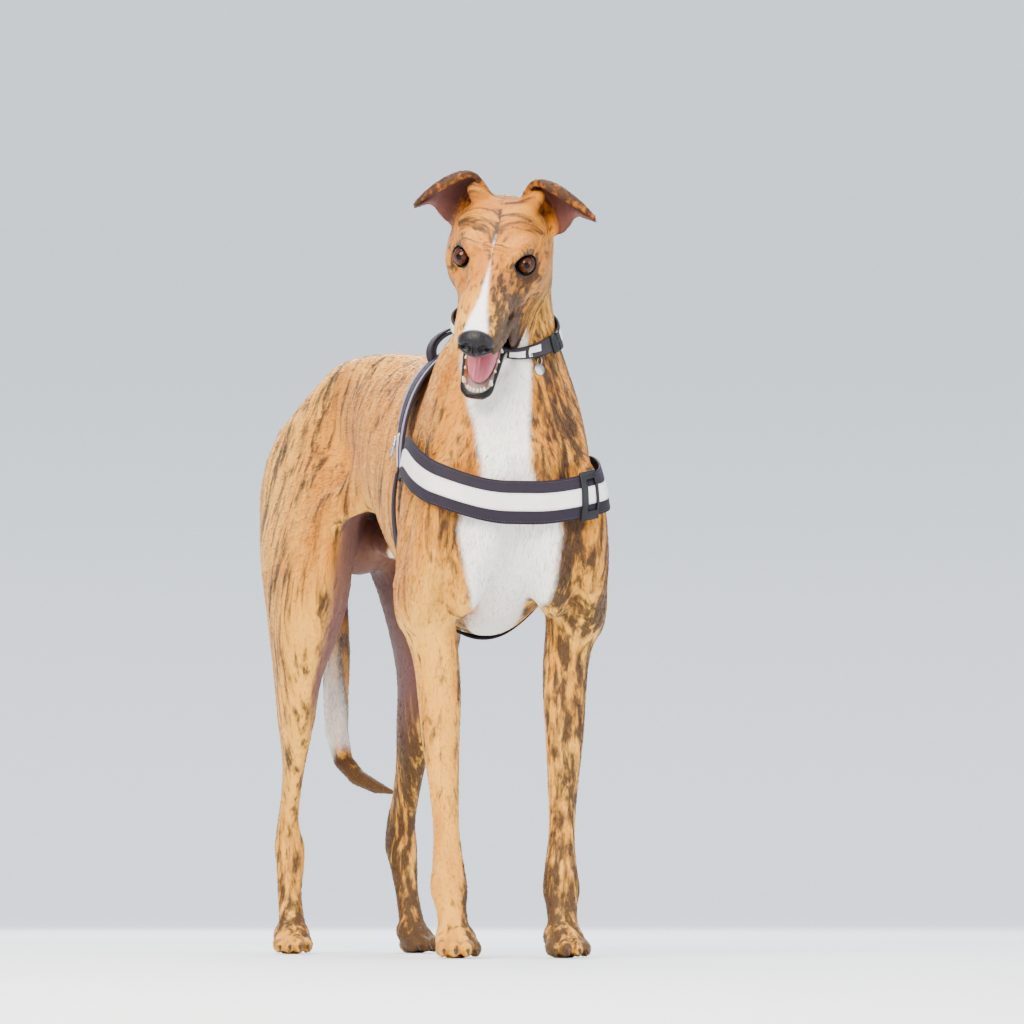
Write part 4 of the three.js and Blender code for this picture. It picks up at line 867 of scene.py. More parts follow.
class Coat:
    """Where the coat is white, dark, pale, mauve or black, with painted shade and a painted highlight in
    places, and which way it lies, at points of the straight dog.
    """

    # Height on the chest, middle of the white across, and how far it reaches from there
    BIB = [(395, -3, 20), (412, -3, 44), (440, -3, 52), (500, -5, 60), (528, -6, 54), (548, -10, 34),
           (575, -14, 28), (620, -18, 31), (670, -21, 37), (715, -19, 36), (760, -17, 26), (800, -15, 10)]
    # Place along the muzzle, and how far the blaze reaches from the middle
    BLAZE = [(-6, -2), (16, -1), (48, 1), (70, 3.6), (93, 7.4), (110, 10.5), (124, 13)]

    PAD = Egg((0, -133, -31), (22.5, 14, 19))

    def __init__(self, flesh: DogFlesh, points: Array, normals: Array) -> None:
        """Args: flesh of the dog, points in millimetres, and the ways out of the skin there."""
        self.flesh = flesh
        self.points = points
        self.normals = normals
        self.head = moved(points, flesh.pose.inverted())
        self.jaw = moved(points, flesh.jaw_pose.inverted())
        above = (self.head - np.array([0, 66, -46])) @ unit(np.array([0, -0.45, 0.89]))
        self.is_head = ease(above, -12, 12) * (points[:, 1] < -240)
        _, y, z = points.T
        self.is_fore = (y < -100) * ease(-z, -440, -380)
        self.is_hind = (y > 100) * ease(-z, -520, -420)
        self.is_tail = self.near_tail()
        self.is_limb = np.maximum.reduce([self.is_fore, self.is_hind, self.is_tail])
        self.is_ear, self.in_cup = self.find_ears()

    def near_tail(self) -> Array:
        """Returns 1 on the tail below its root."""
        close = Rope(TAIL).distance(self.points) < 6
        return (close & (self.points[:, 2] < 585)).astype(float)

    def find_ears(self) -> Tuple[Array, Array]:
        """Returns how far out on an ear each point is, from 0 at the skull, and if it faces into the cup."""
        is_ear = np.zeros(len(self.points))
        inside = np.zeros(len(self.points))
        hx, hy, hz = self.head.T
        for name, side in SIDES.items():
            near = (hx * side > 18) & (hy > 30) & (hz > -16) & (hz < 90) & (self.points[:, 2] > 760)
            grid = Ear(name).grid()
            down, over = grid.shape[:2]
            tree = Sheet(grid, EAR_WALL).tree
            for k in np.flatnonzero(near):
                place, normal, face, gap = tree.find_nearest(Vector(self.head[k]))
                if gap > 5:
                    continue
                row, column = divmod(face, over - 1)
                is_ear[k] = min(max((row / (down - 1) - 0.04) / 0.14, 0.0), 1.0) * min((5 - gap) / 1.5, 1.0)
                facing = normal if normal.y < 0 else -normal
                ahead = (Vector(self.head[k]) - place).dot(facing)
                inside[k] = float(ahead > 0 and column >= 8)
        return is_ear, inside

    def streak(self) -> Array:
        """Returns coordinates in which the dark streaks are one unit apart."""
        x, y, z = self.points.T
        trunk = columns(x / 10, (y + 0.12 * z) / 8, z / 75)
        root = np.where(y < 0, 410.0, 280.0)
        leg = columns(x / 10, (y + 0.12 * root) / 8, root / 75 + (z - root) / 32)
        body = blend(trunk, leg, np.maximum(self.is_fore, self.is_hind * ease(-z, -330, -230)))
        hx, hy, hz = self.head.T
        muzzle = columns(hx / 6.5, hy / 17, hz / 10) + (2, 3, 5)
        reach, turn = self.round_eye()
        crown = columns(reach / 7, turn * 1.8 + 2 * np.sign(hx), hy / 60)
        return blend(body, blend(muzzle, crown, self.crown()), self.is_head)

    def round_eye(self) -> Tuple[Array, Array]:
        """Returns the distance from the nearer eye in millimetres, and the turn round it."""
        hx, hy, hz = self.head.T
        across, along, up = np.abs(hx) - HEAD.eye[0], hy - HEAD.eye[1], hz - HEAD.eye[2]
        return np.sqrt(across**2 + along**2 + up**2), np.arctan2(across, np.hypot(along, up))

    def crown(self) -> Array:
        """Returns 1 on the brow and the crown, where wrinkles run round the eyes."""
        return ease(self.head[:, 1], -22, 0) * ease(self.head[:, 2], 6, 18) * (1 - self.is_ear)

    def lie(self) -> Array:
        """Returns coordinates drawn out along the hair, in millimetres across it."""
        x, y, z = self.points.T
        upright = np.maximum(self.is_limb, ease(-y, 270, 330))
        body = blend(columns(x, y / 5, z), columns(x, y, z / 5), upright)
        return blend(body, self.head / (1, 4, 1), self.is_head)

    def white(self) -> Array:
        """Returns how white the coat is, from 0 to 1, by the distance to the edge of the white."""
        x, y, z = self.points.T
        heights = np.array([row[0] for row in self.BIB], dtype=float)
        middle, reach = [np.interp(z, heights, np.array([row[k] for row in self.BIB])) for k in (1, 2)]
        under = 30 - np.abs(x + 3) + np.minimum(0, 0.4 * (-225 - y))
        under = np.where(self.normals[:, 2] < -0.3, under, -20)
        bib = np.maximum(np.minimum(reach - np.abs(x - middle), -300 - y), under)
        hx, hy, hz = self.head.T
        wide = np.interp(-hy, *np.array(self.BLAZE).T)
        blaze = np.minimum(np.minimum(wide - np.abs(hx + 1), hz + 26), 4 - hy)
        throat = np.minimum(np.minimum(20 - np.abs(hx - 6), -92 - hz), 10 - hy)
        head = np.maximum(blaze, throat)
        edge = np.where(self.is_head > 0.5, head, bib)
        edge = np.maximum(edge, -1.5 * SHEATH.distance(self.points))
        tail = np.minimum((z - 262) * 0.6, (470 - z) * 0.5 + 20)
        edge = np.where(self.is_tail > 0, np.clip(tail * 0.5, -20, 0.6), edge)
        return np.clip(0.5 + edge / np.where(self.is_head > 0.5, 20, 32), 0, 1) * (1 - self.is_ear)

    def dark(self) -> Array:
        """Returns how strong the dark streaks are, from 0 to 1, with painted shade in the creases of the brow
        and, in part, on the left hind leg.
        """
        x, y, z = self.points.T
        left = ease(x, -20, 40)
        front = ease(-y, 180, 280)
        dark = 0.52 + 0.08 * ease(y, 60, 200) + front * (0.27 * left - 0.06 * (1 - left))
        dark += self.is_fore * np.where(x > 0, 0.08, -0.12)
        dark += self.is_fore * ease(x, -66, -44) * (x < 0) * 0.55
        # The left hind leg carries stronger brindle: partly its own darker coat, partly painted shade on the
        # side turned from the light
        dark += self.is_hind * np.where(x > 0, 0.42, 0.0)
        shoulder = ease(-y, 300, 340) * ease(z, 400, 440) * ease(-z, -580, -540)
        dark += 0.3 * np.exp(-((x - 62) / 16) ** 2) * shoulder
        dark += ease(-z, -130, -60) * 0.22
        hx, hy, hz = self.head.T
        face = 0.54 + 0.42 * ease(hx, 0, 24) * ease(-hy, -10, 40)
        face += 0.25 * ease(-hz, 40, 60) * ease(hx, 0, 30)
        reach, _ = self.round_eye()
        # Painted shade: dark rings round the eyes where the brow creases, and a dark line down the groove in
        # the middle of the forehead
        rings = ((26, 2.4, 0.12), (50, 2.6, 0.2), (64, 2.4, 0.14))
        crease_shade = sum(gain * np.exp(-((reach - at) / wide) ** 2) for at, wide, gain in rings)
        groove_shade = np.exp(-((hx + 1) / 1.8) ** 2) * ease(-hy, -60, -40) * ease(hy, -12, -4)
        face += self.crown() * (crease_shade + 0.5 * groove_shade)
        face += 0.5 * np.exp(-((reach - 15) / 5) ** 2)
        face = face + (1.05 - face) * self.is_ear
        dark = dark + (face - dark) * self.is_head
        tip = self.is_tail * ease(-z, -268, -240) * 1.25
        return np.clip(np.maximum(dark, tip), 0, 2)

    def tone(self) -> Array:
        """Returns how pale the ground colour is, from 0, deep apricot, to 1, with a painted highlight on the
        rump and along the top of the back.
        """
        _, y, z = self.points.T
        under = ease(-self.normals[:, 2], 0.0, 0.9)
        # Paler on faces turned down, and paler on the rump as a painted highlight
        tone = 0.42 + 0.4 * under + 0.4 * ease(y, 180, 360) * (z > 480)
        tone += 0.2 * np.maximum(self.is_fore, self.is_hind)
        # Painted highlight along the top of the back, as if lit from above
        tone += 0.2 * ease(z, 690, 740)
        face = 0.35 + 0.3 * ease(-self.head[:, 1], 40, 110) - 0.2 * self.is_ear
        return np.clip(tone + (face - tone) * self.is_head, 0, 1)

    def bare_and_shade(self) -> Array:
        """Returns where thin coat lets the mauve skin through: the groin, belly and the cup of each ear. On
        the groin and belly the mauve is also painted shade, between the hind legs and under the belly.
        """
        x, y, z = self.points.T
        # Painted shade: the sides of the hind legs that face each other, where shade falls between them, go
        # mauve along with their thin-coated skin
        inner = ease(-np.sign(x) * self.normals[:, 0], -0.15, 0.45) * ease(-np.abs(x), -100, -80)
        groin = inner * ease(y, 70, 130) * ease(z, 250, 340) * (z < 620) * (1 - self.is_tail)
        # Under the belly, faces turned away from the sides go mauve: thin-coated skin and painted shade
        turned = ease(0.45 - np.sign(x) * self.normals[:, 0], 0, 0.4)
        belly = np.maximum(turned, ease(48 - np.abs(x), 0, 12)) * ease(74 - np.abs(x), 0, 24)
        belly *= ease(y, 20, 80) * ease(400 - y, 0, 30)
        belly *= ease(z, 405, 440) * ease(-z, -625, -585)
        cup = self.is_ear * self.in_cup
        belly *= ease(SHEATH.distance(self.points), -2, 4)
        return np.clip(np.maximum(np.maximum(groin, belly), cup), 0, 1)

    def black(self) -> Array:
        """Returns where the skin is black: nose, lips and the rims of the eyes."""
        nose = self.PAD.distance(self.head)
        rim = nearest([lid_slit(side) for side in SIDES.values()], self.head)
        hx, hy, hz = self.head.T
        _, jy, jz = self.jaw.T
        hollow = nearest(LOWER_MOUTH, self.jaw)
        lower = np.maximum(np.abs(jz + 54 + np.maximum(jy + 60, 0) * 0.04) - 5.5, 2.4 - hollow)
        lower = np.where((jy < -36) & (hz < -40), lower, 9)
        mouth = nearest(UPPER_MOUTH, self.head)
        upper = np.where((hz < -44) & (hy < -2), np.abs(mouth - 3.2) - 2.2, 9)
        across = (hy + 30) * 0.39 - (hz + 61) * 0.92
        along = (hy + 30) * 0.92 + (hz + 61) * 0.39
        corner = np.maximum(np.abs(across) - 1.3, np.abs(along) - 29)
        edge = np.minimum.reduce([nose - 0.5, rim - 4.0, lower, upper, np.where(np.abs(hx) > 18, corner, 9)])
        return ease(-edge, -1.2, 1.2) * (self.is_head > 0.02)

    def nose(self) -> Array:
        """Returns where the skin is the pebbled leather of the nose."""
        pad = ease(-self.PAD.distance(self.head), -1.6, 0.4)
        return pad * ease(nearest(NOSTRILS, self.head), 0.2, 1.4) * (self.is_head > 0.5)

    def mouth(self) -> Array:
        """Returns where the skin lines the mouth."""
        hollow = np.minimum(nearest(UPPER_MOUTH, self.head), nearest(LOWER_MOUTH, self.jaw))
        return ease(-hollow, -2.6, -1.0) * (self.is_head > 0.02)

    def hair_way(self) -> Array:
        """Returns the way the hair lies, along the skin."""
        x, y, z = self.points.T
        side = np.sign(x)
        trunk, neck, leg, tip = np.array([(0, 1, -0.4), (0, 0.5, -0.9), (0, 0.22, -1), (0.3, -1, -0.25)])
        way = blend(trunk, neck, ease(-y, 190, 260))
        way = blend(way, leg, self.is_limb)
        way = blend(way, tip, self.is_tail * ease(-z, -265, -235))
        carried = np.array(self.flesh.pose.to_3x3()).T
        back, out = columns(0.15 * side, 1, -0.1) @ carried, columns(0.9 * side, -0.2, -0.3) @ carried
        way = blend(way, blend(back, out, self.is_ear), self.is_head)
        return unit(way - self.normals * np.sum(way * self.normals, axis=1, keepdims=True))

    def length(self) -> Array:
        """Returns how long the standing hairs are, in millimetres."""
        x, y, z = self.points.T
        length = np.full(len(x), 7.0)
        length += 3 * ease(y, 300, 360) * ease(z, 380, 460)
        length += 2 * ease(-y, 320, 350) * (1 - self.is_head)
        length = np.where(self.is_tail > 0, 9.0, length)
        length = length * (1 - 0.35 * np.maximum(self.is_fore, self.is_hind))
        length = np.where(z < 60, 3.2, length)
        return length + (3.4 - length) * self.is_head

    def bake_place(self) -> Array:
        """Returns a place on an unwrap of the dog: head, trunk, legs, tail and ears side by side."""
        x, y, z = self.points.T
        hx, hy, hz = self.head.T

        def chart(around: Array, along: Array, box: Tuple[float, float, float, float]) -> Array:
            """Returns a turn and a share along it as a place in a box of the unwrap."""
            u = (around / (2 * math.pi)) % 1
            v = np.clip(along, 0, 1)
            return columns(box[0] + u * (box[2] - box[0]), box[1] + v * (box[3] - box[1]))

        place = chart(np.arctan2(x, z - 600), (y + 380) / 800, (0.01, 0.01, 0.49, 0.62))
        neck = (y < -150) & (z > 640)
        nape = chart(np.arctan2(x, -290 - y), (z - 640) / 200, (0.01, 0.64, 0.30, 0.80))
        place = np.where(neck[:, None], nape, place)
        for k, leg in enumerate(self.flesh.legs):
            pair = self.is_fore if leg.kind is Kind.FORE else self.is_hind
            is_leg = pair * (np.sign(x) == leg.side) > 0.5
            line = np.array([leg.bone_line(h) for h in range(0, 560, 10)])
            at = np.clip((z / 10).astype(int), 0, len(line) - 1)
            around = np.arctan2(x - line[at, 0] * leg.side, y - line[at, 1])
            box = (0.51 + 0.12 * k, 0.01, 0.62 + 0.12 * k, 0.62)
            place = np.where(is_leg[:, None], chart(around, z / 560, box), place)
        tail = chart(np.arctan2(x, y - np.interp(z, [203, 330, 640], [260, 332, 390])), (z - 200) / 440,
                     (0.32, 0.64, 0.40, 0.98))
        place = np.where(self.is_tail[:, None] > 0.5, tail, place)
        head = chart(np.arctan2(hx, hz + 20), (hy + 150) / 270, (0.42, 0.64, 0.80, 0.98))
        place = np.where(self.is_head[:, None] > 0.5, head, place)
        ear = chart(np.arctan2(hz - 40, hy - 60), np.abs(hx) / 110, (0.01, 0.82, 0.30, 0.98))
        return np.where(self.is_ear[:, None] > 0.5, ear, place)

    @property
    def values(self) -> Dict[str, Array]:
        """Returns the markings that the material reads, by the name of their attribute."""
        return {
            "masks": columns(self.white(), self.dark(), self.tone()),
            "skins": columns(self.bare_and_shade(), self.black(), self.mouth()),
            "leather": self.nose(),
            "streak": self.streak(),
            "lie": self.lie(),
        }

    def dress(self, piece: Piece) -> None:
        """Stores the markings on a piece whose points are these."""
        for name, values in self.values.items():
            set_values(piece, name, values)


# Materials


def linear(code: str) -> Tuple[float, float, float, float]:
    """Turns an sRGB hex colour into linear light. Args: code such as "#c9975f". Returns RGBA."""
    parts = [int(code[i:i + 2], 16) / 255 for i in (1, 3, 5)]
    return tuple(c / 12.92 if c <= 0.04045 else ((c + 0.055) / 1.055) ** 2.4 for c in parts) + (1.0,)


class Nodes:
    """The nodes of a new material, with its shader."""

    def __init__(self, name: str) -> None:
        """Args: name of the material."""
        self.material = bpy.data.materials.new(name)
        self.material.use_nodes = True
        self.tree = self.material.node_tree

    def fill(self, node: Node, inputs: Dict) -> None:
        """Sets or links inputs. Args: node, and values, outputs or nodes by the input's name or number."""
        for name, value in inputs.items():
            if isinstance(value, Node):
                value = value.outputs[0]
            if isinstance(value, Socket):
                self.tree.links.new(value, node.inputs[name])
            else:
                node.inputs[name].default_value = value

    def put(self, kind: str, inputs: Optional[Dict] = None, **settings) -> Node:
        """Adds a node with settings and links. Args: kind, inputs as in fill, settings. Returns the node."""
        node = self.tree.nodes.new("ShaderNode" + kind)
        for name, value in settings.items():
            setattr(node, name, value)
        self.fill(node, inputs or {})
        return node

    def finish(self, inputs: Dict) -> Material:
        """Sets and links the shader's inputs. Returns the material."""
        self.fill(self.tree.nodes["Principled BSDF"], inputs)
        return self.material


# Settings that several nodes share: a smooth step, a colour mix, a colour product, and sums on numbers
SMOOTH = {"interpolation_type": "SMOOTHSTEP"}
COLOUR = {"data_type": "RGBA"}
SHADE = {"data_type": "RGBA", "blend_type": "MULTIPLY"}
SCALE = {"operation": "MULTIPLY_ADD"}
TIMES = {"operation": "MULTIPLY"}


@dataclass(frozen=True)
class ShortCoat:
    """Short, close-lying greyhound hair, satin and brindled, that goes over into skin and lips. The mauve of
    the thin-coated skin is also painted shade between the hind legs and under the belly.

    The eye reads brindle from its streaks and softness from the fine grain along the hair.
    """

    deep: str = "#ab5f0c"
    pale: str = "#efb454"
    brindle: str = "#33231a"
    white: str = "#f5f1ea"
    # The mauve of thin-coated skin, dark enough to stand also as painted shade in the groin and under the
    # belly
    bare_and_shade: str = "#6f4b47"
    black: str = "#100e0f"
    leather: str = "#1d1a1d"
    lining: str = "#a9585f"
    roughness: float = 0.62

    def build(self) -> Material:
        """Returns the material."""
        nodes = Nodes("short_coat")
        put = nodes.put
        leather = put("Attribute", attribute_name="leather").outputs["Fac"]
        streak, lie, masks, skins = [put("Attribute", attribute_name=name).outputs["Vector"]
                                     for name in ("streak", "lie", "masks", "skins")]
        white, dark, tone = put("SeparateXYZ", {0: masks}).outputs
        bare_and_shade, black, mouth = put("SeparateXYZ", {0: skins}).outputs
        cloud = put("TexNoise", {"Vector": streak, "Scale": 0.35, "Detail": 2.0, "Roughness": 0.55})
        patch = put("TexNoise", {"Vector": streak, "Scale": 0.22, "Detail": 1.0, "Roughness": 0.55})
        lines = put("TexNoise", {"Vector": streak, "Scale": 1.0, "Detail": 3.0, "Roughness": 0.6,
                                 "Distortion": 0.25})
        hairs = put("TexNoise", {"Vector": lie, "Scale": 0.9, "Detail": 3.0, "Roughness": 0.7})

        cloudy = put("Math", {0: cloud, 1: 0.7, 2: -0.35}, **SCALE)
        ground = put("MapRange", {0: put("Math", {0: tone, 1: cloudy})}, **SMOOTH)
        coat = put("Mix", {0: ground, 6: linear(self.deep), 7: linear(self.pale)}, **COLOUR).outputs[2]
        patches = put("Math", {0: patch, 1: 0.5, 2: -0.25}, **SCALE)
        level = put("Math", {0: put("Math", {0: dark, 1: 0.42, 2: -0.21}, **SCALE), 1: patches})
        ragged = put("Math", {0: put("Math", {0: hairs, 1: 0.16, 2: -0.08}, **SCALE), 1: level})
        strength = put("MapRange", {0: put("Math", {0: lines, 1: ragged}), 1: 0.48, 2: 0.74}, **SMOOTH)
        gaps = put("MapRange", {0: hairs, 1: 0.05, 2: 0.45}, **SMOOTH)
        broken = put("Math", {0: strength, 1: gaps}, **TIMES)
        brindled = put("Math", {0: broken, 1: 0.92}, **TIMES)
        coat = put("Mix", {0: brindled, 6: coat, 7: linear(self.brindle)}, **COLOUR).outputs[2]
        mottle = put("Math", {0: put("Math", {0: hairs, 1: 0.3, 2: -0.15}, **SCALE), 1: patches})
        fringe = put("MapRange", {0: put("Math", {0: white, 1: mottle}), 1: 0.36, 2: 0.68}, **SMOOTH)
        coat = put("Mix", {0: fringe, 6: coat, 7: linear(self.white)}, **COLOUR).outputs[2]
        grain = put("Math", {0: hairs, 1: 0.36, 2: 0.82}, **SCALE)
        grey = put("CombineColor", {k: grain for k in range(3)})
        coat = put("Mix", {0: 1.0, 6: coat, 7: grey}, **SHADE).outputs[2]
        # Thin coat and painted shade let the mauve through
        thin = put("Math", {0: bare_and_shade, 1: put("Math", {0: hairs, 1: 0.3, 2: 0.76}, **SCALE)}, **TIMES)
        covers = {self.bare_and_shade: thin, self.lining: mouth, self.black: black, self.leather: leather}
        for colour, where in covers.items():
            coat = put("Mix", {0: where, 6: coat, 7: linear(colour)}, **COLOUR).outputs[2]

        wet = put("Math", {0: black, 1: mouth}, operation="MAXIMUM")
        pebbles = put("TexVoronoi", {"Vector": lie, "Scale": 0.75})
        height = put("Mix", {0: leather, 2: hairs, 3: pebbles})
        return nodes.finish({
            "Base Color": coat, "Roughness": put("Math", {0: wet, 1: -0.28, 2: self.roughness}, **SCALE),
            "Sheen Weight": 0.12, "Sheen Roughness": 0.45, "IOR": 1.45,
            "Normal": put("Bump", {"Height": height, "Strength": 0.55, "Distance": 0.0006}),
        })


@dataclass(frozen=True)
class Webbing:
    """Woven nylon tape: rows of a tight twill, with darker bound edges. UV runs along and across the band.

    Widths and the length are in millimetres. The eye reads cloth from the twill and its uneven wear.
    """

    name: str
    colour: str
    edge: str
    long: float
    wide: float
    bound: float = 0.0
    roughness: float = 0.78
    row: float = 1.4

    def build(self) -> Material:
        """Returns the material."""
        nodes = Nodes(self.name)
        put = nodes.put
        u, v, _ = put("SeparateXYZ", {0: put("UVMap", uv_map="weave")}).outputs
        along, across = [put("Math", {0: s, 1: reach / self.row}, **TIMES)
                         for s, reach in ((u, self.long), (v, self.wide))]
        threads = put("CombineXYZ", {0: along, 1: across}).outputs[0]
        twill = {"Vector": threads, "Scale": 0.5, "Distortion": 0.4, "Detail": 1.0}
        weave = put("TexWave", twill, bands_direction="DIAGONAL").outputs["Fac"]
        ribs = {"Vector": threads, "Scale": 0.32, "Distortion": 0.2}
        rows = put("TexWave", ribs, bands_direction="Y").outputs["Fac"]
        cloth = put("Mix", {0: 0.35, 2: weave, 3: rows})
        wear = put("TexNoise", {"Vector": threads, "Scale": 0.06, "Detail": 3.0})
        light = put("MapRange", {0: put("Math", {0: cloth, 1: wear}), 2: 2.0, 3: 0.72, 4: 1.28})
        off = put("Math", {0: put("Math", {0: v, 1: 0.5}, operation="SUBTRACT")}, operation="ABSOLUTE")
        bound = put("Math", {0: off, 1: 0.5 - self.bound / self.wide}, operation="GREATER_THAN")
        base = put("Mix", {0: bound, 6: linear(self.colour), 7: linear(self.edge)}, **COLOUR).outputs[2]
        grey = put("CombineColor", {k: light for k in range(3)})
        return nodes.finish({
            "Base Color": put("Mix", {0: 1.0, 6: base, 7: grey}, **SHADE).outputs[2],
            "Roughness": self.roughness,
            "Normal": put("Bump", {"Height": cloth, "Strength": 0.5, "Distance": 0.0005}),
        })


@dataclass(frozen=True)
class Plain:
    """One colour with a fine unevenness, read from its gloss: plastic, steel, thread, horn or enamel."""

    name: str
    colour: str
    roughness: float
    metallic: float = 0.0
    grain: float = 900.0
    bump: float = 0.00005
    coat: float = 0.0
    subsurface: float = 0.0

    def build(self) -> Material:
        """Returns the material."""
        nodes = Nodes(self.name)
        put = nodes.put
        place = put("TexCoord").outputs["Object"]
        fine = put("TexNoise", {"Vector": place, "Scale": self.grain, "Detail": 3.0})
        broad = put("TexNoise", {"Vector": place, "Scale": self.grain / 9, "Detail": 2.0})
        light = put("MapRange", {0: broad, 3: 0.86, 4: 1.12})
        grey = put("CombineColor", {k: light for k in range(3)})
        return nodes.finish({
            "Base Color": put("Mix", {0: 1.0, 6: linear(self.colour), 7: grey}, **SHADE).outputs[2],
            "Roughness": put("MapRange", {0: fine, 3: self.roughness * 0.8, 4: self.roughness * 1.2}),
            "Metallic": self.metallic, "Coat Weight": self.coat, "Coat Roughness": 0.05,
            "Subsurface Weight": self.subsurface, "Subsurface Radius": (0.004, 0.0015, 0.001),
            "Normal": put("Bump", {"Height": fine, "Strength": 0.5, "Distance": self.bump}),
        })


@dataclass(frozen=True)
class EyeGloss:
    """A wet dark eye: black pupil, amber-brown iris with fibres, dark rim and a clear gloss over all."""

    pupil: str = "#050404"
    iris: str = "#4d2814"
    rim: str = "#150c08"
    white: str = "#3d2a22"

    def build(self) -> Material:
        """Returns the material. The attribute ring is the angle in degrees from the way the eye looks."""
        nodes = Nodes("wet_eye")
        put = nodes.put
        ring = put("Attribute", attribute_name="ring").outputs["Fac"]
        fibre = put("Attribute", attribute_name="fibre").outputs["Vector"]
        rays = put("TexNoise", {"Vector": fibre, "Scale": 9.0, "Detail": 3.0})
        ramp = put("ValToRGB", {0: put("Math", {0: ring, 1: 1 / 60}, **TIMES)})
        stops = [(0.0, self.pupil), (0.24, self.pupil), (0.3, self.iris), (0.68, self.iris), (0.8, self.rim),
                 (0.92, self.rim), (1.0, self.white)]
        elements = ramp.color_ramp.elements
        for k, (place, colour) in enumerate(stops):
            element = elements[k] if k < 2 else elements.new(place)
            element.position = place
            element.color = linear(colour)
        light = put("MapRange", {0: rays, 3: 0.55, 4: 1.6})
        grey = put("CombineColor", {k: light for k in range(3)})
        colour = put("Mix", {0: 1.0, 6: ramp, 7: grey}, **SHADE).outputs[2]
        return nodes.finish({"Base Color": colour, "Roughness": 0.04, "IOR": 1.38})


# Making pieces


def made(operator: Callable, name: str, **settings) -> Piece:
    """Adds a primitive at the origin. Args: operator, name of the piece, settings. Returns the piece."""
    bpy.ops.object.select_all(action="DESELECT")
    operator(location=(0, 0, 0), **settings)
    piece = bpy.context.object
    piece.name = name
    return piece


def grid_piece(name: str, along: int, across: int) -> Piece:
    """Adds a flat grid of 2 by 2. Args: name, faces along and across. Returns the piece."""
    return made(bpy.ops.mesh.primitive_grid_add, name, x_subdivisions=along, y_subdivisions=across, size=2)


def coordinates(piece: Piece) -> Array:
    """Returns the piece's points."""
    values = np.empty(len(piece.data.vertices) * 3)
    piece.data.vertices.foreach_get("co", values)
    return values.reshape(-1, 3)


def lay_out(piece: Piece, points: Array) -> None:
    """Puts the points of a piece in place. Args: piece, points in millimetres on the straight dog."""
    piece.data.vertices.foreach_set("co", in_scene(points).ravel())
    piece.data.update()


def finished(piece: Piece, kind: str, **settings) -> None:
    """Adds a modifier and applies it. Args: piece, kind of modifier, its settings."""
    modifier = piece.modifiers.new(kind, kind)
    for name, value in settings.items():
        setattr(modifier, name, value)
    bpy.context.view_layer.objects.active = piece
    bpy.ops.object.modifier_apply(modifier=modifier.name)


def rounded(piece: Piece, width: float, segments: int = 2) -> None:
    """Rounds the sharp edges of a piece. Args: piece, width of the round, its segments."""
    sharp = radians(50)
    finished(piece, "BEVEL", width=width, segments=segments, limit_method="ANGLE", angle_limit=sharp)


def unwrap(piece: Piece, places: Array) -> None:
    """Stores where each corner lies on the unwrap for baking. Args: piece, places."""
    piece.data.uv_layers.new(name="OFBake").data.foreach_set("uv", places.astype(np.float32).ravel())


def joined(name: str, pieces: List[Piece]) -> Piece:
    """Joins pieces into one. Args: name of the whole, its pieces. Returns it."""
    bpy.ops.object.select_all(action="DESELECT")
    for piece in pieces:
        piece.select_set(True)
    bpy.context.view_layer.objects.active = pieces[0]
    if len(pieces) > 1:
        bpy.ops.object.join()
    pieces[0].name = name
    return pieces[0]


def dressed(piece: Piece, material: Material, slot: str, angle: float = 40) -> Piece:
    """Finishes a piece. Args: piece, material, slot, which is not used, angle that stays sharp. Returns it.
    """
    piece.data.materials.clear()
    piece.data.materials.append(material)
    bpy.ops.object.select_all(action="DESELECT")
    piece.select_set(True)
    bpy.context.view_layer.objects.active = piece
    bpy.ops.object.shade_smooth_by_angle(angle=radians(angle))
    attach(piece, "root")
    LOG.info("%s: %d faces", piece.name, len(piece.data.polygons))
    return piece


def tapered(name: str, base: Array, tip: Array, radius: float, pose: Matrix, arch: float = 0.0,
            blunt: float = 0.45) -> Piece:
    """Makes a tooth or claw. Args: name, base, tip, radius, the pose they are in, arch up, bluntness."""
    piece = made(bpy.ops.mesh.primitive_uv_sphere_add, name, segments=12, ring_count=10)
    x, y, z = coordinates(piece).T
    share = (z + 1) / 2
    long = unit(tip - base)
    side = unit(np.cross(long, np.array([0.0, 0.3, 1])))
    over = np.cross(side, long)
    around = unit(np.stack([x, y], axis=1))
    reach = radius * np.sqrt(np.clip(share / 0.15, 0, 1)) * np.clip(1 - share, 0, 1) ** blunt
    points = base + share[:, None] * (tip - base) + (np.sin(math.pi * share) * arch)[:, None] * over
    points = points + (around[:, :1] * side + around[:, 1:] * over) * reach[:, None]
    lay_out(piece, moved(points, pose))
    return piece


# Eyes, mouth and claws


@dataclass
class Eyes:
    """Round amber-brown eyes behind the lids."""

    bulge: float = 0.9
    cornea: float = 24

    def build(self) -> None:
        """Makes both eyes."""
        material = EyeGloss().build()
        for name, side in SIDES.items():
            piece = made(bpy.ops.mesh.primitive_uv_sphere_add, f"eyeball_{name}", segments=64, ring_count=48)
            ball = coordinates(piece)
            ring = np.degrees(np.arccos(np.clip(ball[:, 2], -1, 1)))
            reach = HEAD.eye_radius - 0.1 + self.bulge * np.exp(-(ring / self.cornea) ** 2)
            look = gaze(side)
            across = unit(np.cross(look, np.array([0.0, 0, 1])))
            frame_axes = np.stack([across, np.cross(look, across), look])
            points = eye_at(side) + (ball @ frame_axes) * reach[:, None]
            lay_out(piece, moved(points, HEAD.pose()))
            set_values(piece, "ring", ring)
            set_values(piece, "fibre", columns(ball[:, 0], ball[:, 1], ring / 90))
            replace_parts(dressed(piece, material, "eye"), f"eye_{name}")


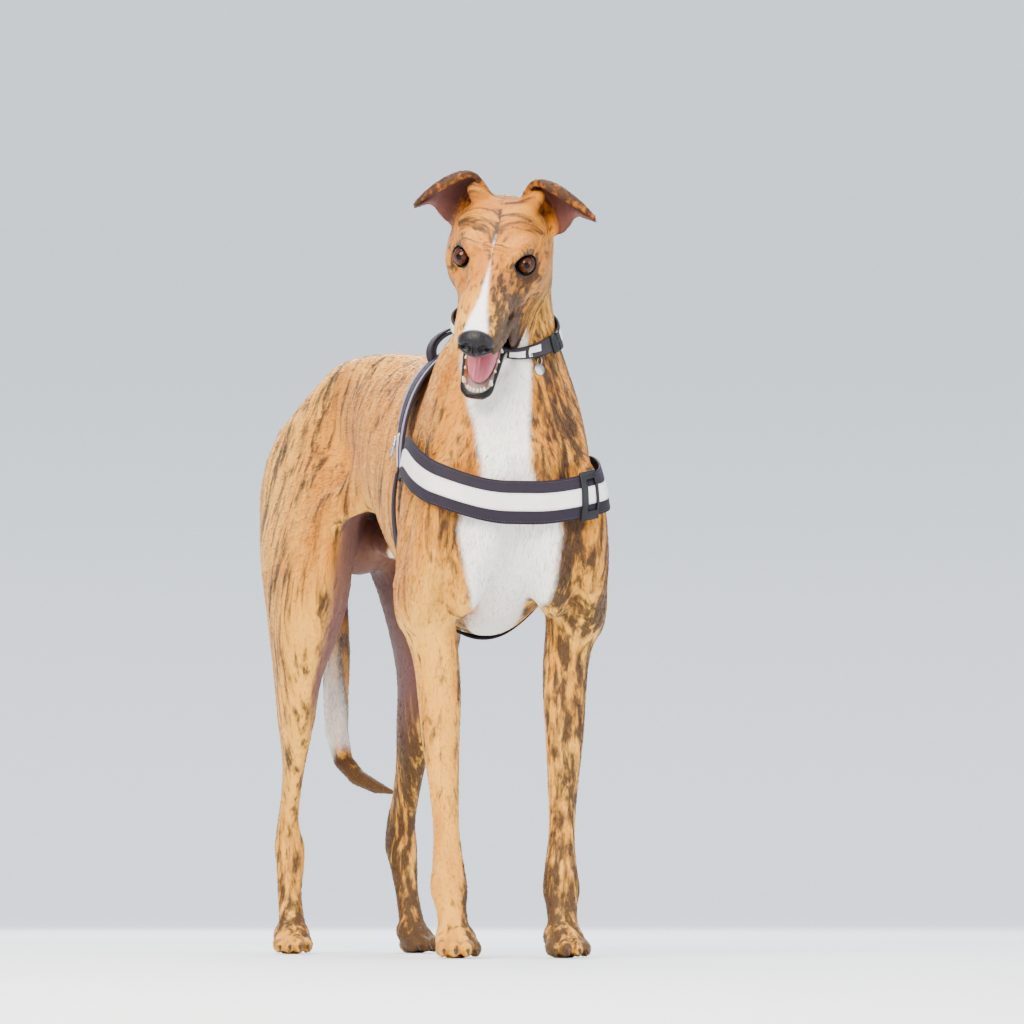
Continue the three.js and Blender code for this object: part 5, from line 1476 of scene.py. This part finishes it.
@dataclass
class Mouth:
    """Tongue and lower teeth in the open jaw."""

    tongue_middle: Triple = (0, -46, -52)
    tongue_reach: Triple = (18.6, 61, 8.8)
    groove: float = 2.6
    canine: float = 3.2

    def build(self) -> None:
        """Makes the tongue and the teeth."""
        pose = HEAD.jaw_pose()
        piece = made(bpy.ops.mesh.primitive_uv_sphere_add, "tongue_flesh", segments=64, ring_count=48)
        x, y, z = coordinates(piece).T
        ahead = np.clip(-y, 0, 0.999)
        wide = self.tongue_reach[0] * (1 - ahead**3.2) ** 0.42 / np.sqrt(1 - ahead**2) * (1 - 0.1 * ahead)
        along = self.tongue_middle[1] + y * self.tongue_reach[1]
        cleft = self.groove * np.exp(-(x * wide / 2.4) ** 2) * (z > 0) * ease(-y, -0.2, 0.3)
        ripple = 0.5 * np.sin(along * 0.21 + x * 2) * (z > 0)
        points = columns(x * wide, along, self.tongue_middle[2] + z * self.tongue_reach[2] - cleft + ripple)
        lay_out(piece, moved(points, pose))
        wet = Plain("moist_tongue", "#c4707a", 0.32, grain=1400, bump=0.0003, coat=0.35, subsurface=0.12)
        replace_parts(dressed(piece, wet.build(), "tongue", 60), "tongue")
        teeth = []
        for k in range(6):
            angle = (k - 2.5) / 2.5 * 0.9
            base = np.array([math.sin(angle) * 12, -110 - math.cos(angle) * 9, -56])
            teeth.append(tapered("tooth", base, base * (1.02, 1, 1) + (0, -1, 10.5), 2.4, pose, 0, 0.3))
        for side in SIDES.values():
            base, tip = np.array([side * 15.5, -107.0, -57]), np.array([side * 17, -109.0, -40])
            teeth.append(tapered("tooth", base, tip, self.canine, pose, 0.8))
            for k in range(4):
                base = np.array([side * (17.5 + k * 1.6), -88.0 + k * 15, -60])
                teeth.append(tapered("tooth", base, base + (0, 0, 9.5), 2.6, pose))
        enamel = Plain("tooth_enamel", "#e6dcc6", 0.25, grain=500, coat=0.3, subsurface=0.1)
        dressed(joined("lower_teeth", teeth), enamel.build(), "lip_skin", 60)


@dataclass
class Claws:
    """Blunt dark claws on every toe."""

    radius: float = 3.3

    def build(self, legs: List[Leg]) -> None:
        """Makes the claws of the legs."""
        claws = []
        for leg in legs:
            for across, ahead in TOES:
                x = across * leg.wide
                base, tip = np.array([x, ahead - 31.0, 12.5]), np.array([x * 1.05, ahead - 47.0, 3.4])
                claws.append(tapered("claw", base, tip, self.radius, leg.paw_pose, 1.3, 0.7))
        horn = Plain("claw_horn", "#4a3a30", 0.38, grain=700, bump=0.0002)
        dressed(joined("claws", claws), horn.build(), "short_coat", 60)


# Harness and collar


# The middle of a band, the ray out of the body, the way across and the width
Stop = Tuple[Array, Array, Array, float]


@dataclass(frozen=True)
class Wrap:
    """A band that lies on the flesh. Sizes are in millimetres and turns in degrees."""

    middle: Triple
    first: float
    last: float
    stops: int
    wide: float
    thick: float
    lift: float
    bridge: int = 7
    shares: Tuple[float, ...] = (-0.5, 0, 0.5)
    closed: bool = False

    def stop(self, turn: float) -> Stop:
        """Returns the stop at a turn."""
        raise NotImplementedError


class ChestWrap(Wrap):
    """Round the front of the chest, rising to both shoulders."""

    RISE = {"left": 40, "right": 60}

    def stop(self, turn: float) -> Stop:
        """Returns the stop at a turn."""
        rise = self.RISE["right" if turn < 0 else "left"] * float(ease(np.array(abs(turn)), 5, 85))
        angle = radians(turn)
        ray = np.array([math.sin(angle), -math.cos(angle), 0])
        return np.array(self.middle) + (0, 0, rise), ray, np.array([0.0, 0, 1]), self.wide


class SaddleWrap(Wrap):
    """Over the back and down both shoulders, narrowing."""

    NARROW, ENDS = 54, -186

    def stop(self, turn: float) -> Stop:
        """Returns the stop at a turn."""
        share = float(ease(np.array(abs(turn)), 0, self.last))
        angle = radians(turn)
        place = self.middle[1] + (self.ENDS - self.middle[1]) * share
        ray = np.array([math.sin(angle), 0, math.cos(angle)])
        wide = self.wide * (1 + (self.NARROW / 94 - 1) * share)
        return np.array([0, place, self.middle[2]]), ray, np.array([0.0, 1, 0]), wide


class GirthWrap(Wrap):
    """Under the chest behind the elbows."""

    UNDER = -150

    def stop(self, turn: float) -> Stop:
        """Returns the stop at a turn."""
        angle = radians(turn)
        place = self.middle[1] + (self.UNDER - self.middle[1]) * math.sin(angle - math.pi / 2)
        ray = np.array([math.sin(angle), 0, math.cos(angle)])
        return np.array([0, place, self.middle[2]]), ray, np.array([0.0, 1, 0]), self.wide


class CollarWrap(Wrap):
    """Round the neck, lower in front."""

    TILT = radians(27)

    def stop(self, turn: float) -> Stop:
        """Returns the stop at a turn."""
        angle = radians(turn)
        ahead = np.array([0, -math.cos(self.TILT), -math.sin(self.TILT)])
        ray = np.array([math.sin(angle), 0, 0]) + ahead * math.cos(angle)
        return np.array(self.middle), ray, np.array([0, -math.sin(self.TILT), math.cos(self.TILT)]), self.wide


CHEST = ChestWrap((0, -235, 532), -112, 112, 27, 50, 2.6, 2.2, 7, (-0.5, -0.17, 0.17, 0.5))
SADDLE = SaddleWrap((0, -100, 596), -100, 100, 15, 94, 5, 1.6, 4, (-0.5, -0.17, 0.17, 0.5))
GIRTH = GirthWrap((0, -160, 560), 79, 281, 21, 38, 2.6, 2.2)
COLLAR = CollarWrap((-4, -296, 744), 0, 360, 26, 17, 2.6, 1.4, 4, closed=True)
HANDLE = {"place": -96, "half": 47, "top": 760, "squash": 30, "wide": 26, "thick": 6.5, "turn": 112}
RING = {"radius": 11, "wire": 1.7, "lift": 9, "turn": 84}


def surface_along(depth: Callable[[Array], Array], starts: Array, rays: Array) -> Array:
    """Finds how far along its ray a start leaves the flesh. Args: field, starts, rays. Returns distances."""
    reach = np.arange(16.0, 240, 5)
    points = starts[:, None] + rays[:, None] * reach[None, :, None]
    out = depth(points.reshape(-1, 3)).reshape(len(starts), -1) > 0
    first = np.where(out.any(1), out.argmax(1), len(reach) - 1)
    low, high = reach[np.maximum(first - 1, 0)], reach[first]
    for _ in range(10):
        half = (low + high) / 2
        outside = depth(starts + rays * half[:, None]) > 0
        low, high = np.where(outside, low, half), np.where(outside, half, high)
    return (low + high) / 2


class Tape:
    """The course of a wrap over the flesh, from which bands of any width and height are cut."""

    FINER = 4

    def __init__(self, wrap: Wrap, depth: Callable[[Array], Array]) -> None:
        """Args: wrap to follow, and the field of the flesh."""
        self.wrap = wrap
        count = wrap.stops * self.FINER
        last = wrap.last - wrap.last / count if wrap.closed else wrap.last
        self.turns = np.linspace(wrap.first, last, count)
        stops = [wrap.stop(turn) for turn in self.turns]
        self.middles, self.rays, self.across, self.widths = [np.array(part) for part in zip(*stops)]
        self.shares = np.array(wrap.shares)
        places = (self.widths[:, None] * self.shares)[..., None]
        starts = self.middles[:, None] + self.across[:, None] * places
        rays = np.repeat(self.rays, len(self.shares), axis=0)
        far = surface_along(depth, starts.reshape(-1, 3), rays).reshape(count, -1)
        for _ in range(wrap.bridge * self.FINER**2):
            ahead, behind = np.roll(far, -1, 0), np.roll(far, 1, 0)
            if not wrap.closed:
                ahead[-1], behind[0] = far[-1], far[0]
            far = np.maximum(far, (ahead + behind) / 2)
        self.far = far

    def at(self, turn: Array, share: Array, height: float) -> Array:
        """Returns places on the band. Args: turns, shares across from -0.5 to 0.5, height over the flesh."""
        turns, rows = self.turns, [self.middles, self.rays, self.across, self.widths, self.far]
        if self.wrap.closed:
            turns, rows = np.append(turns, self.wrap.last), [np.concatenate([v, v[:1]]) for v in rows]
            turn = turn % 360
        place = np.interp(turn, turns, np.arange(len(turns)))
        low = np.minimum(place.astype(int), len(turns) - 2)
        part = place - low

        def between(values: Array) -> Array:
            """Returns the values between two stops."""
            share = part.reshape(part.shape + (1,) * (values.ndim - 1))
            return values[low] * (1 - share) + values[low + 1] * share

        middles, rays, across, widths, far = [between(values) for values in rows]
        column = np.interp(share, self.shares, np.arange(len(self.shares)))
        left = np.minimum(column.astype(int), len(self.shares) - 2)
        row = np.arange(len(far))
        reach = far[row, left] * (1 - column + left) + far[row, left + 1] * (column - left)
        return middles + across * (share * widths)[:, None] + unit(rays) * (reach + height)[:, None]

    def cut(self, name: str, turns: Pair, shares: Pair, lift: float, thick: float, detail: Tuple[int, int],
            edge: float = 0.5, crown: float = 0.0) -> Piece:
        """Cuts a band out of the course.

        Args: name, turns and shares it spans, lift over the flesh, thickness, faces along and across, round
        of its edges, how far its middle bulges. Returns: the piece, with the UV map weave.
        """
        long, wide = detail
        piece = grid_piece(name, long, wide)
        flat = coordinates(piece)
        u, v = (flat[:, 0] + 1) / 2, (flat[:, 1] + 1) / 2
        turn = turns[0] + u * (turns[1] - turns[0])
        share = shares[0] + v * (shares[1] - shares[0])
        swell = crown * np.sqrt(np.clip(np.sin(math.pi * np.clip(v, 0, 1)), 0, 1))
        rim = np.clip(np.minimum(u, 1 - u) * long / 2, 0, 1) if crown else 1
        lay_out(piece, self.at(turn, share, lift + swell * rim))
        piece.data.uv_layers[0].name = "weave"
        centre = in_scene(self.middles[len(self.middles) // 2][None])[0]
        face = piece.data.polygons[len(piece.data.polygons) // 2]
        if np.dot(np.array(face.center) - centre, face.normal) < 0:
            piece.data.flip_normals()
        if self.wrap.closed and turns[1] - turns[0] >= 360:
            finished(piece, "WELD", merge_threshold=0.0002)
        finished(piece, "SOLIDIFY", thickness=thick * MM, offset=1)
        if edge:
            rounded(piece, min(edge, thick * 0.4) * MM)
        return piece

    def whole(self, name: str, detail: Tuple[int, int]) -> Piece:
        """Cuts the wrap itself. Args: name, faces along and across. Returns the piece."""
        wrap = self.wrap
        return self.cut(name, (wrap.first, wrap.last), (-0.5, 0.5), wrap.lift, wrap.thick, detail)

    def stitches(self, name: str, turns: Pair, share: float, height: float, pitch: float = 3.6) -> Piece:
        """Sews stitches along the band. Args: name, turns, share across, height, pitch. Returns the piece."""
        many = np.linspace(turns[0], turns[1], 400)
        line = self.at(many, np.full(len(many), share), height)
        walked = np.concatenate([[0], np.cumsum(np.linalg.norm(np.diff(line, axis=0), axis=1))])
        count = max(int(walked[-1] / pitch), 1)
        points, faces = [], []
        for k in range(count):
            first, last = [np.array([np.interp((k + s) * pitch, walked, line[:, i]) for i in range(3)])
                           for s in (0.15, 0.85)]
            _, ray, across, _ = self.wrap.stop(np.interp((k + 0.5) * pitch, walked, many))
            ray, across = unit(ray) * 0.35, across * 0.35
            start = len(points)
            middle = (first + last) / 2
            points += [first, middle + ray, middle + across, middle - ray, middle - across, last]
            faces += [(start, start + 1 + j, start + 1 + (j + 1) % 4) for j in range(4)]
            faces += [(start + 5, start + 1 + (j + 1) % 4, start + 1 + j) for j in range(4)]
        return mesh_piece(name, np.array(points), np.array(faces))


@dataclass
class Harness:
    """A walking harness of plum webbing: reflective stripe, padded saddle, girth and grab handle."""

    stripe: float = 21
    webbing: str = "#2b2430"
    lilac: str = "#8a8398"

    def build(self, flesh: DogFlesh) -> None:
        """Makes the harness on the flesh."""
        depth = flesh.body.distance
        chest, saddle, girth = Tape(CHEST, depth), Tape(SADDLE, depth), Tape(GIRTH, depth)
        tape = Webbing("plum_webbing", self.webbing, "#221c28", 560, 50, 2.0).build()
        bright = Webbing("reflective_tape", "#eceae6", "#c9c6c4", 560, 21, 0.6, 0.42).build()
        soft = Webbing("lilac_padding", self.lilac, "#27232a", 300, 94, 4.5, 0.85).build()
        girth_tape = Webbing("girth_webbing", self.webbing, "#28222c", 330, 38, 1.6).build()
        black = Plain("black_plastic", "#131215", 0.4, grain=1200, bump=0.00008).build()
        steel = Plain("steel_ring", "#b9b8b4", 0.24, 1.0, grain=1500, bump=0.00002).build()
        thread = Plain("sewing_thread", "#5d5560", 0.7, grain=3000).build()

        def sewn(piece: Piece, material: Material) -> Piece:
            """Finishes a piece of webbing. Returns it."""
            return dressed(piece, material, "harness_webbing")

        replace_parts(sewn(chest.whole("chest_webbing", (216, 12)), tape), "chest_strap")
        top = CHEST.lift + CHEST.thick
        half = self.stripe / CHEST.wide / 2
        sewn(chest.cut("chest_stripe", (-101, 110), (-half, half), top + 0.1, 0.45, (208, 6), 0.15), bright)
        rows = [chest.stitches(f"row_{k}", (-101, 110), share, top + 0.45)
                for k, share in enumerate((-half + 0.03, half - 0.03, -0.455, 0.455))]
        sewn(joined("chest_stitches", rows), thread)

        spread = (SADDLE.first, SADDLE.last)
        pad = saddle.cut("saddle_padding", spread, (-0.5, 0.5), 0.8, 3.2, (120, 20), 0.8, 2.2)
        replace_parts(dressed(pad, soft, "harness_padding", 60), "saddle")
        sewn(saddle.cut("saddle_webbing", (-99, 99), (-0.2, 0.2), 6.1, 0.9, (110, 6), 0.3), tape)
        seams = [saddle.stitches(f"seam_{k}", (-98, 98), share, 6.6) for k, share in enumerate((-0.18, 0.18))]
        sewn(joined("saddle_stitches", seams), thread)
        patches = [saddle.cut(f"patch_{k}", turns, (-0.17, 0.17), 6.95, 0.35, (14, 3), 0.12)
                   for k, turns in enumerate(((-96, -74), (74, 96)))]
        sewn(joined("saddle_patches", patches), bright)

        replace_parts(sewn(girth.whole("girth_webbing", (160, 6)), girth_tape), "girth_strap")

        dressed(self.slider(chest), black, "black_plastic", 50)
        self.handle(tape, soft)
        self.rings(saddle, flesh, steel)

    @staticmethod
    def slider(chest: Tape) -> Piece:
        """Makes the slide adjuster on the dog's left: a frame round the webbing with a bar. Returns it."""
        over = CHEST.lift + CHEST.thick + 0.2
        bars = [((27, 35), (0.36, 0.58)), ((27, 35), (-0.58, -0.36)), ((27, 30), (-0.58, 0.58)),
                ((34, 35), (-0.58, 0.58))]
        pieces = [chest.cut(f"bar_{k}", turns, shares, over, 3.2, (6, 12), 1.1)
                  for k, (turns, shares) in enumerate(bars)]
        slider = joined("slide_adjuster", pieces)
        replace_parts(slider, "strap_slider")
        return slider

    @staticmethod
    def handle(outer: Material, inner: Material) -> None:
        """Makes the grab handle: padding on the inside and webbing over it."""
        layers = {"handle_padding": (0.0, 3.6, inner, "harness_padding"),
                  "handle_webbing": (3.7, 2.6, outer, "harness_webbing")}
        for name, (lift, thick, material, slot) in layers.items():
            piece = grid_piece(name, 72, 8)
            flat = coordinates(piece)
            turn = flat[:, 0] * radians(HANDLE["turn"])
            s, c = np.sin(turn), np.cos(turn)
            squash = HANDLE["squash"]
            spine = columns(s * HANDLE["half"], HANDLE["place"], HANDLE["top"] - squash + c * squash)
            out = unit(columns(s * squash, 0, c * HANDLE["half"]))
            wide = HANDLE["wide"] * (1 - 0.04 * (slot == "harness_padding"))
            lay_out(piece, spine + out * lift + columns(0, flat[:, 1] * wide / 2, 0))
            piece.data.uv_layers[0].name = "weave"
            face = piece.data.polygons[len(piece.data.polygons) // 2]
            if face.normal.z < 0:
                piece.data.flip_normals()
            finished(piece, "SOLIDIFY", thickness=thick * MM, offset=1)
            rounded(piece, 1.0 * MM, 3)
            dressed(piece, material, slot)
            if slot == "harness_webbing":
                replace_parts(piece, "handle")

    @staticmethod
    def rings(saddle: Tape, flesh: DogFlesh, steel: Material) -> None:
        """Makes a steel ring at each end of the saddle."""
        for name, side in SIDES.items():
            middle, ray, _, _ = SADDLE.stop(side * RING["turn"])
            reach = surface_along(flesh.body.distance, middle[None], ray[None])
            place = middle + ray * reach[0]
            out = flesh.slope(flesh.body.distance, place[None])[0]
            at = place + out * (SADDLE.lift + SADDLE.thick + RING["wire"] + RING["lift"])
            piece = made(bpy.ops.mesh.primitive_torus_add, f"steel_ring_{name}", major_radius=RING["radius"],
                         minor_radius=RING["wire"], major_segments=48, minor_segments=12)
            turn = Vector((0, 0, 1)).rotation_difference(Vector(out)).to_matrix()
            lay_out(piece, coordinates(piece) @ np.array(turn).T + at)
            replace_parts(dressed(piece, steel, "ring_steel", 60), f"ring_{name}")


@dataclass
class Collar:
    """A narrow dark collar with pale woven bars, a clip and a small round tag."""

    bars: int = 20
    pitch: float = 18
    bar_turn: float = 14.5
    bar_wide: float = 0.72

    def build(self, flesh: DogFlesh) -> None:
        """Makes the collar on the flesh."""
        course = Tape(COLLAR, flesh.body.distance)
        dark = Webbing("collar_webbing", "#39343a", "#2a262b", 360, 20, 1.4).build()
        pale = Webbing("collar_bars", "#eceae6", "#bdbab6", 40, 12, 0.4, 0.4).build()
        black = Plain("clip_plastic", "#18171a", 0.38, grain=1200, bump=0.00008).build()
        steel = Plain("tag_steel", "#a9a8a4", 0.28, 1.0, grain=1500, bump=0.00004).build()
        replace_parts(dressed(course.whole("collar_band", (180, 6)), dark, "collar_webbing"), "collar")
        top = COLLAR.lift + COLLAR.thick
        half = self.bar_wide / 2
        pieces = []
        for k in range(self.bars):
            turn = -4 + k * self.pitch
            if 42 < turn + self.bar_turn and turn < 66:
                continue
            pieces.append(course.cut(f"bar_{k}", (turn, turn + self.bar_turn), (-half, half), top - 0.05, 0.4,
                                     (10, 3), 0.12))
        dressed(joined("collar_bars", pieces), pale, "collar_webbing")
        over = top + 0.1
        parts = [((44, 52), (-0.58, 0.58), 3.0), ((56, 64), (-0.58, 0.58), 3.0),
                 ((50, 58), (-0.46, 0.46), 2.2), ((51, 57), (-0.12, 0.12), 2.9)]
        clip = [course.cut(f"clip_{k}", turns, shares, over, thick, (8, 8), 0.9)
                for k, (turns, shares, thick) in enumerate(parts)]
        clip_piece = dressed(joined("collar_clip", clip), black, "black_plastic", 50)
        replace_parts(clip_piece, "collar_buckle")
        self.tag(course, steel)

    @staticmethod
    def tag(course: Tape, steel: Material) -> None:
        """Hangs a small plain round tag from the front of the collar."""
        at = course.at(np.array([24.0]), np.array([-0.5]), 5.2)[0]
        ring = made(bpy.ops.mesh.primitive_torus_add, "tag_ring", major_radius=4.4, minor_radius=0.7,
                    major_segments=32, minor_segments=8)
        turn = np.array(Euler((0, radians(90), radians(24))).to_matrix())
        lay_out(ring, coordinates(ring) @ turn.T + at + (0, 0, -3))
        disc = made(bpy.ops.mesh.primitive_cylinder_add, "tag_disc", radius=7, depth=1.2, vertices=48)
        rounded(disc, 0.35)
        face = np.array(Euler((radians(78), 0, radians(24))).to_matrix())
        lay_out(disc, coordinates(disc) @ face.T + at + (0, 0.5, -13))
        dressed(joined("collar_tag", [ring, disc]), steel, "ring_steel", 50)


# Standing hairs


@dataclass
class Hairs:
    """Short single hairs that break the outline of the coat: flat on the skin with a lifted tip."""

    many: int = 96000
    per_piece: int = 32000
    seed: int = 11
    thick: float = 0.55
    patch: float = 0.0015

    def build(self, flesh: DogFlesh, skin: SkinMesh, coat: Coat, material: Material) -> None:
        """Makes the hairs. Args: flesh, its skin, the markings at the skin's points, the skin's material."""
        draw = np.random.default_rng(self.seed)
        corners = skin.points[skin.quads]
        area = np.linalg.norm(np.cross(corners[:, 2] - corners[:, 0], corners[:, 3] - corners[:, 1]), axis=1)
        hairy = 1 - np.clip(coat.black() + coat.mouth() + coat.nose() + 0.75 * coat.bare_and_shade(), 0, 1)
        dense = (1 + 0.7 * coat.is_head) * hairy * (skin.points[:, 2] > 2.5)
        weight = area * dense[skin.quads].mean(1)
        many = self.many
        quad = draw.choice(len(area), size=many, p=weight / weight.sum())
        u, v = draw.random((2, many, 1))
        a, b, c, d = corners[quad].transpose(1, 0, 2)
        roots = (a * (1 - u) + b * u) * (1 - v) + (d * (1 - u) + c * u) * v
        normals = unit(skin.normals[skin.quads[quad]].mean(1))
        markings = Coat(flesh, roots, normals)
        way = markings.hair_way()
        way = unit(way + 0.22 * draw.normal(size=way.shape))
        way = unit(way - normals * np.sum(way * normals, axis=1, keepdims=True))
        length = markings.length() * draw.uniform(0.7, 1.25, many)
        lift = draw.uniform(0.15, 1.0, many) * (0.35 + 0.09 * length)
        side = np.cross(normals, way) * (self.thick / 2)
        sunk = roots - normals * 0.25
        tips = roots + way * length[:, None] + normals * lift[:, None]
        middle = sunk + way * (self.thick * 0.8)
        points = np.stack([sunk - side, sunk + side, middle + normals * self.thick, tips], axis=1)
        places = markings.bake_place()
        values = markings.values
        parts = max(math.ceil(many / self.per_piece), 1)
        order = np.argsort(markings.points[:, 1] + 40 * markings.is_head)
        for k, share in enumerate(np.array_split(order, parts)):
            self.piece(f"standing_hairs_{k + 1}", points[share], places[share], values, share, material)

    def piece(self, name: str, points: Array, places: Array, values: Dict[str, Array],
              share: Array, material: Material) -> None:
        """Makes one piece of hairs.

        Args: name, points hair by hair, places on the unwrap, all markings, which of them, and the material.
        """
        start = np.arange(len(points))[:, None, None] * 4
        corners = np.array([(0, 1, 3), (1, 2, 3), (2, 0, 3), (0, 2, 1)])
        faces = (start + corners).reshape(-1, 3)
        piece = mesh_piece(name, points.reshape(-1, 3), faces)
        for layer, numbers in values.items():
            set_values(piece, layer, np.repeat(numbers[share], 4, axis=0))
        offsets = np.array([(-1, -1), (1, -1), (0, 1), (0, 0)]) * self.patch
        spots = places[:, None] + offsets
        spread = spots.reshape(-1, 2)[faces.ravel()]
        unwrap(piece, spread)
        dressed(piece, material, "short_coat", 180)


# The dog


@dataclass
class Body:
    """The skin with its coat."""

    step: float = 4.6
    quick_step: float = 7.0

    def build(self, flesh: DogFlesh) -> None:
        """Makes the skin and the hairs on it."""
        skin = SkinMaker(flesh, self.step).make()
        coat = Coat(flesh, skin.points, skin.normals)
        piece = mesh_piece("skin", skin.points, skin.quads)
        coat.dress(piece)
        material = ShortCoat().build()
        unwrap(piece, coat.bake_place()[skin.quads.ravel()])
        dressed(piece, material, "short_coat", 180)
        names = [f"{part}_{side}" for side in SIDES for part in
                 ("upper_arm", "forearm", "forepaw", "thigh", "lower_leg", "hindpaw", "ear")]
        rest = [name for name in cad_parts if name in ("torso", "neck", "head", "lower_jaw", "nose")
                or name.startswith("tail") or name in names]
        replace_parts(piece, *rest)
        Hairs().build(flesh, skin, coat, material)


# Stage


@dataclass
class Studio:
    """A pale studio: a wide floor that glows as painted light away from the dog, a large soft light from the
    upper left, a fill and a light behind.
    """

    floor: str = "#dcdfe2"
    sky: str = "#e0e5ea"
    camera: Triple = (-3.381, -7.250, 0.08)
    target: Triple = (0.0895, -0.0417, 0.541)
    lens: float = 230.6
    flat: float = 12
    round: float = 6
    reach: float = 26

    # Name, place, size in metres, power in watts, colour
    LIGHTS = (
        ("key", (-3.4, -3.6, 3.6), 3.0, 400, "#fff4e4"), ("fill", (3.6, -4.6, 2.0), 3.5, 110, "#eef3ff"),
        ("back", (1.5, 4.2, 3.2), 2.5, 190, "#ffffff"), ("top", (-0.2, -0.4, 4.2), 3.0, 130, "#ffffff"),
    )

    def build(self) -> None:
        """Sets the floor, the lights, the world and the camera."""
        floor = grid_piece("studio_floor", 48, 96)
        flat = coordinates(floor)
        turn, run = flat[:, 0] * math.pi, (flat[:, 1] + 1) / 2 * self.reach
        past = np.clip(run - self.flat, 0, None)
        angle = np.minimum(past / self.round, math.pi / 2)
        out = np.minimum(run, self.flat) + self.round * np.sin(angle)
        up = self.round * (1 - np.cos(angle)) + np.clip(past - self.round * math.pi / 2, 0, None)
        points = columns(out * np.sin(turn), out * np.cos(turn), up)
        floor.data.vertices.foreach_set("co", points.ravel())
        finished(floor, "WELD", merge_threshold=0.001)
        for face in floor.data.polygons:
            face.use_smooth = True
        nodes = Nodes("studio_floor")
        place = nodes.put("TexCoord").outputs["Object"]
        _, _, height = nodes.put("SeparateXYZ", {0: place}).outputs
        far = nodes.put("VectorMath", {0: place}, operation="LENGTH").outputs["Value"]
        # Painted light: the floor glows in the sky's colour, not at all near the dog, more and more out to 7
        # m, and less the higher it climbs up the sweep
        rise = nodes.put("MapRange", {0: far, 1: 1.5, 2: 7.0}, **SMOOTH)
        fall = nodes.put("MapRange", {0: height, 2: 2.4, 3: 0.5, 4: 0.16}, **SMOOTH)
        floor.data.materials.append(nodes.finish({
            "Base Color": linear(self.floor), "Roughness": 0.75, "Emission Color": linear(self.sky),
            "Emission Strength": nodes.put("Math", {0: rise, 1: fall}, **TIMES),
        }))
        for name, place, size, power, colour in self.LIGHTS:
            bpy.ops.object.light_add(type="AREA", location=place)
            light = bpy.context.object
            light.name = f"{name}_light"
            light.data.size = size
            light.data.energy = power
            light.data.color = linear(colour)[:3]
            light.rotation_euler = (Vector((0, 0, 0.5)) - Vector(place)).to_track_quat("-Z", "Y").to_euler()
        world = bpy.data.worlds.new("studio_air")
        world.use_nodes = True
        air = world.node_tree.nodes["Background"]
        air.inputs["Color"].default_value = linear(self.sky)
        air.inputs["Strength"].default_value = 1.15
        scene = bpy.context.scene
        scene.world = world
        bpy.ops.object.camera_add(location=self.camera)
        camera = bpy.context.object
        camera.data.lens = self.lens
        camera.data.sensor_width = 36
        aim = Vector(self.target) - Vector(self.camera)
        camera.rotation_euler = aim.to_track_quat("-Z", "Y").to_euler()
        scene.camera = camera
        scene.view_settings.view_transform = "AgX"
        scene.view_settings.look = "AgX - Medium High Contrast"


def main() -> None:
    """Builds the greyhound, what it wears and its stage."""
    flesh = DogFlesh()
    Body().build(flesh)
    Eyes().build()
    Mouth().build()
    Claws().build(flesh.legs)
    Harness().build(flesh)
    Collar().build(flesh)
    Studio().build()
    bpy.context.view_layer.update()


if __name__ == "__main__":
    main()
